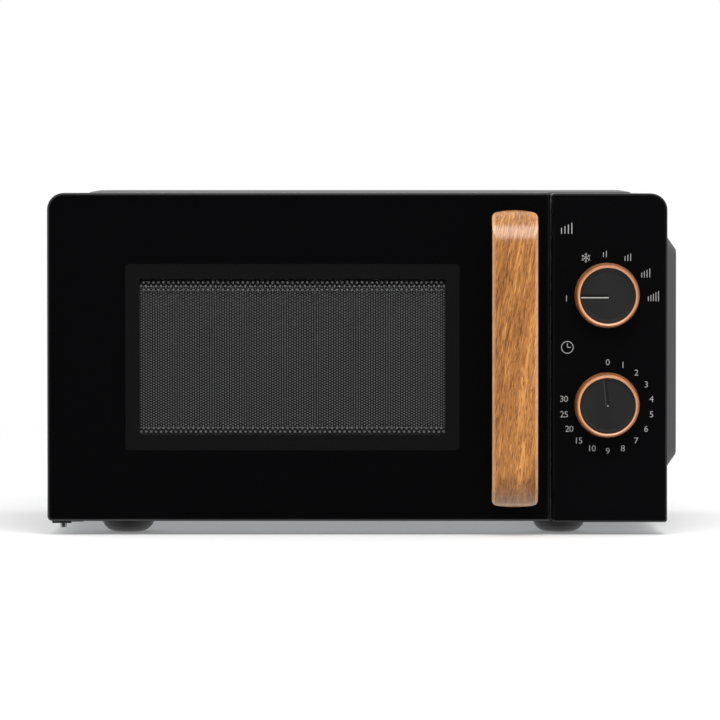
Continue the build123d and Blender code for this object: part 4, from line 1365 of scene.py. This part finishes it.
@dataclass
class Studio:
    """Pale floor that is also lit from below, soft light and the camera."""

    distance: float = 4.75
    camera_z: float = 0.284
    aim_z: float = 0.1276
    aim_x: float = -0.0035
    seen_width: float = 0.5233
    floor_radius: float = 1.7
    hub_radius: float = 0.02
    floor_glow: float = 0.18
    paper: Colour = (0.74, 0.74, 0.74, 1.0)
    white: Colour = (1.0, 1.0, 1.0, 1.0)
    sky: float = 1.0
    front_dark: float = 0.05

    def floor(self) -> None:
        """Adds a round floor: rings of points whose radius grows evenly, all at z 0."""
        rings, spokes = 24, 96
        radius = np.linspace(self.hub_radius, self.floor_radius, rings)[:, None]
        angle = np.linspace(0, 2 * math.pi, spokes, endpoint=False)[None, :]
        x, y = radius * np.cos(angle), radius * np.sin(angle)
        points = np.stack([x, y, np.zeros_like(x)], -1).reshape(-1, 3)
        mesh = bpy.data.meshes.new("floor")
        hub = np.arange(spokes)
        faces = loops(rings, spokes, False, True).tolist() + [hub[::-1].tolist()]
        mesh.from_pydata(points.tolist(), [], faces)
        shader = Shader("floor_paper")
        fibre = shader.noise(shader.stretched([400.0] * 3), 3.0)
        shader.rough(fibre, 0.05)
        mesh.materials.append(shader.wear(Base_Color=self.paper, Roughness=fibre * 0.1 + 0.8,
                                          Emission_Color=self.white, Emission_Strength=self.floor_glow))
        made = bpy.data.objects.new("floor", mesh)
        made.visible_glossy = False
        bpy.context.scene.collection.objects.link(made)

    def world(self) -> None:
        """Makes an even pale surround that is dark low down in front, where the glass mirrors it."""
        world = bpy.data.worlds.new("surround")
        world.use_nodes = True
        bpy.context.scene.world = world
        tree = Tree(world.node_tree)
        way = tree.node("ShaderNodeTexCoord", {}, {}).outputs["Generated"]
        parts = tree.node("ShaderNodeSeparateXYZ", {}, {0: way}).outputs
        ahead = (Value(tree, parts[1]) * -1.0).clamp(0.2, 0.75)
        low = 1.0 - Value(tree, parts[2]).clamp(0.12, 0.6)
        glow = (1.0 - ahead * low * (1.0 - self.front_dark)) * self.sky
        seen = tree.value("ShaderNodeLightPath", {}, {}, "Is Camera Ray")
        background = world.node_tree.nodes["Background"]
        tree.fill(background.inputs["Strength"], seen * 1.0 + (1.0 - seen) * glow)
        background.inputs["Color"].default_value = self.white

    def lamp(self, name: str, place: tuple[float, float, float], aim: tuple[float, float, float],
             size: tuple[float, float], watts: float) -> None:
        """Adds a soft rectangular light.

        Args:
            name: Its name.
            place: Where it is.
            aim: Where it points.
            size: Width and height of its face.
            watts: Its power.
        """
        data = bpy.data.lights.new(name, "AREA")
        data.shape = "RECTANGLE"
        data.size, data.size_y = size
        data.energy = watts
        lamp = bpy.data.objects.new(name, data)
        bpy.context.scene.collection.objects.link(lamp)
        lamp.location = place
        way = Vector(aim) - Vector(place)
        lamp.rotation_mode = "QUATERNION"
        lamp.rotation_quaternion = way.to_track_quat("-Z", "Y")

    def camera(self) -> None:
        """Adds the camera in front of the door, a little above the middle and tipped down to it."""
        data = bpy.data.cameras.new("camera")
        data.sensor_width = 36.0
        data.lens = data.sensor_width * self.distance / self.seen_width
        data.clip_end = 60.0
        camera = bpy.data.objects.new("camera", data)
        bpy.context.scene.collection.objects.link(camera)
        front = float(Box.of("door_glass").low[1])
        place = Vector((self.aim_x, front - self.distance, self.camera_z))
        aim = Vector((self.aim_x, front, self.aim_z))
        camera.location = place
        camera.rotation_mode = "QUATERNION"
        camera.rotation_quaternion = (aim - place).to_track_quat("-Z", "Y")
        bpy.context.scene.camera = camera

    def build(self) -> None:
        """Adds everything round the oven."""
        self.floor()
        self.world()
        self.lamp("key", place=(0.2, -1.75, 1.65), aim=(0.0, -0.15, 0.16), size=(1.5, 1.7), watts=42.0)
        self.camera()
        bpy.context.scene.view_settings.view_transform = "Standard"


def finishes(window: Window, middle: tuple[float, float]) -> dict[str, bpy.types.Material]:
    """Makes one finish for each slot of the record.

    Args:
        window: The door's window, for the glass.
        middle: x and y of the turntable's axis.

    Returns:
        Materials by slot name.
    """
    bar = Box.of("handle_bar")
    wood = UprightWood("wood_film_upright", srgb(96, 54, 22), srgb(167, 109, 55), srgb(210, 149, 79),
                       srgb(238, 180, 122), (float(bar.middle[0]), float(bar.low[2])))
    return {
        "cabinet_paint": PowderCoat("cabinet_powder", srgb(57, 57, 59), 0.5).make(),
        "zinc_sheet": SheetMetal("zinc_plate", srgb(176, 180, 184), 0.42).make(),
        "foot_plastic": Moulded("foot_rubber", srgb(38, 38, 40), 0.6).make(),
        "black_fitting": Moulded("black_fitting", srgb(26, 26, 28), 0.45).make(),
        "screw_steel": SheetMetal("screw_steel", srgb(150, 150, 155), 0.3, 1.2, (60.0, 60.0, 60.0)).make(),
        "cavity_paint": Enamel("cavity_enamel", srgb(176, 178, 180), srgb(110, 112, 116)).make(),
        "mica": Moulded("mica_sheet", srgb(168, 158, 140), 0.35, 1.2, 0.03).make(),
        "tube_copper": SheetMetal("tube_copper", srgb(196, 128, 92), 0.35, 3.0).make(),
        "fin_aluminium": SheetMetal("fin_aluminium", srgb(206, 208, 210), 0.3, 4.0).make(),
        "core_steel": Laminations("core_laminations", srgb(92, 92, 96)).make(),
        "pale_plastic": Moulded("nylon_pale", srgb(214, 208, 196), 0.45).make(),
        "grey_plastic": Moulded("case_grey", srgb(120, 122, 126), 0.45).make(),
        "red_plastic": Moulded("switch_red", srgb(168, 40, 34), 0.4).make(),
        "lamp_glass": Moulded("lamp_glass", srgb(238, 230, 205), 0.15, 0.8, 0.004).make(),
        "board_green": Moulded("board_green", srgb(40, 96, 60), 0.35, 1.5, 0.03).make(),
        "bell_steel": SheetMetal("bell_steel", srgb(186, 186, 190), 0.22, 5.0).make(),
        "housing_plastic": Moulded("housing_black", srgb(24, 24, 26), 0.45).make(),
        "fascia_black": BlackGlass("fascia_gloss", srgb(5, 5, 6), 0.06).make(),
        "hinge_steel": SheetMetal("hinge_steel", srgb(168, 170, 174), 0.35, 3.0).make(),
        "frame_plastic": Moulded("frame_black", srgb(12, 12, 13), 0.2, 0.6, 0.004).make(),
        "door_glass": window.glass_finish(),
        "screen_paint": PowderCoat("screen_paint", srgb(18, 18, 19), 0.6, 0.4, 0.01).make(),
        "clear_film": ClearSheet("film_haze", srgb(206, 207, 208), 0.8).make(),
        "wood_effect": wood.make(),
        "knob_dark": Moulded("knob_graphite", srgb(25, 24, 24), 0.5, 0.3, 0.01, mirror=0.25).make(),
        "hook_plastic": Moulded("hook_pale", srgb(196, 192, 182), 0.4).make(),
        "tray_glass": TrayGlass("tray_pressed", (0.9, 0.95, 0.93, 1.0), middle).make(),
    }


def own_finishes() -> dict[str, bpy.types.Material]:
    """Makes the finishes of nodes that look different from the rest of their slot.

    Returns:
        Materials by node name.
    """
    upper, lower = (Box.of(node).middle for node in ("power_knob_ring", "timer_knob_ring"))
    axis = (float(upper[0]), float((upper[2] + lower[2]) / 2))
    ring = RoundWood("wood_film_round", srgb(84, 40, 18), srgb(186, 114, 64), srgb(240, 176, 118),
                     srgb(240, 178, 134), axis, streak_mm=1.7, line_mm=0.6, wander_mm=0.6,
                     apart=float(upper[2] - lower[2])).make()
    wire = Windings("winding_enamel", srgb(176, 104, 66)).make()
    return {"power_knob_ring": ring, "timer_knob_ring": ring, "transformer_windings": wire}


def main() -> None:
    """Builds the looks in order."""
    logging.basicConfig(level=logging.INFO, format="%(name)s %(message)s")
    window = Window()
    axis = Box.of("drive_coupler").middle
    paints = finishes(window, (float(axis[0]), float(axis[1])))
    dress(paints, own_finishes())
    window.dots(Print("dot_ink", srgb(112, 112, 112)).make())
    window.steel(paints["screen_paint"])
    ink = Print("scale_ink", srgb(158, 158, 158)).make()
    PowerDial("power_knob_ring", ink, (0.0, -1.8)).build()
    TimerDial("timer_knob_ring", ink, (0.5, -1.1)).build()
    # The pointer strips are painted highlights: pale on the power knob's lower groove wall, dim on the
    # timer knob's left wall.
    pale = Print("pointer_groove_highlight", srgb(172, 170, 166)).make()
    Pointer("power_knob_cap", "power_knob", -90.0, pale).build()
    timer = Pointer("timer_knob_cap", "timer_knob", -5.0, Print("pointer_groove_dim_highlight", srgb(46, 45, 45)).make())
    timer.build()
    timer.dot(ink)
    Studio().build()


if __name__ == "__main__":
    main()
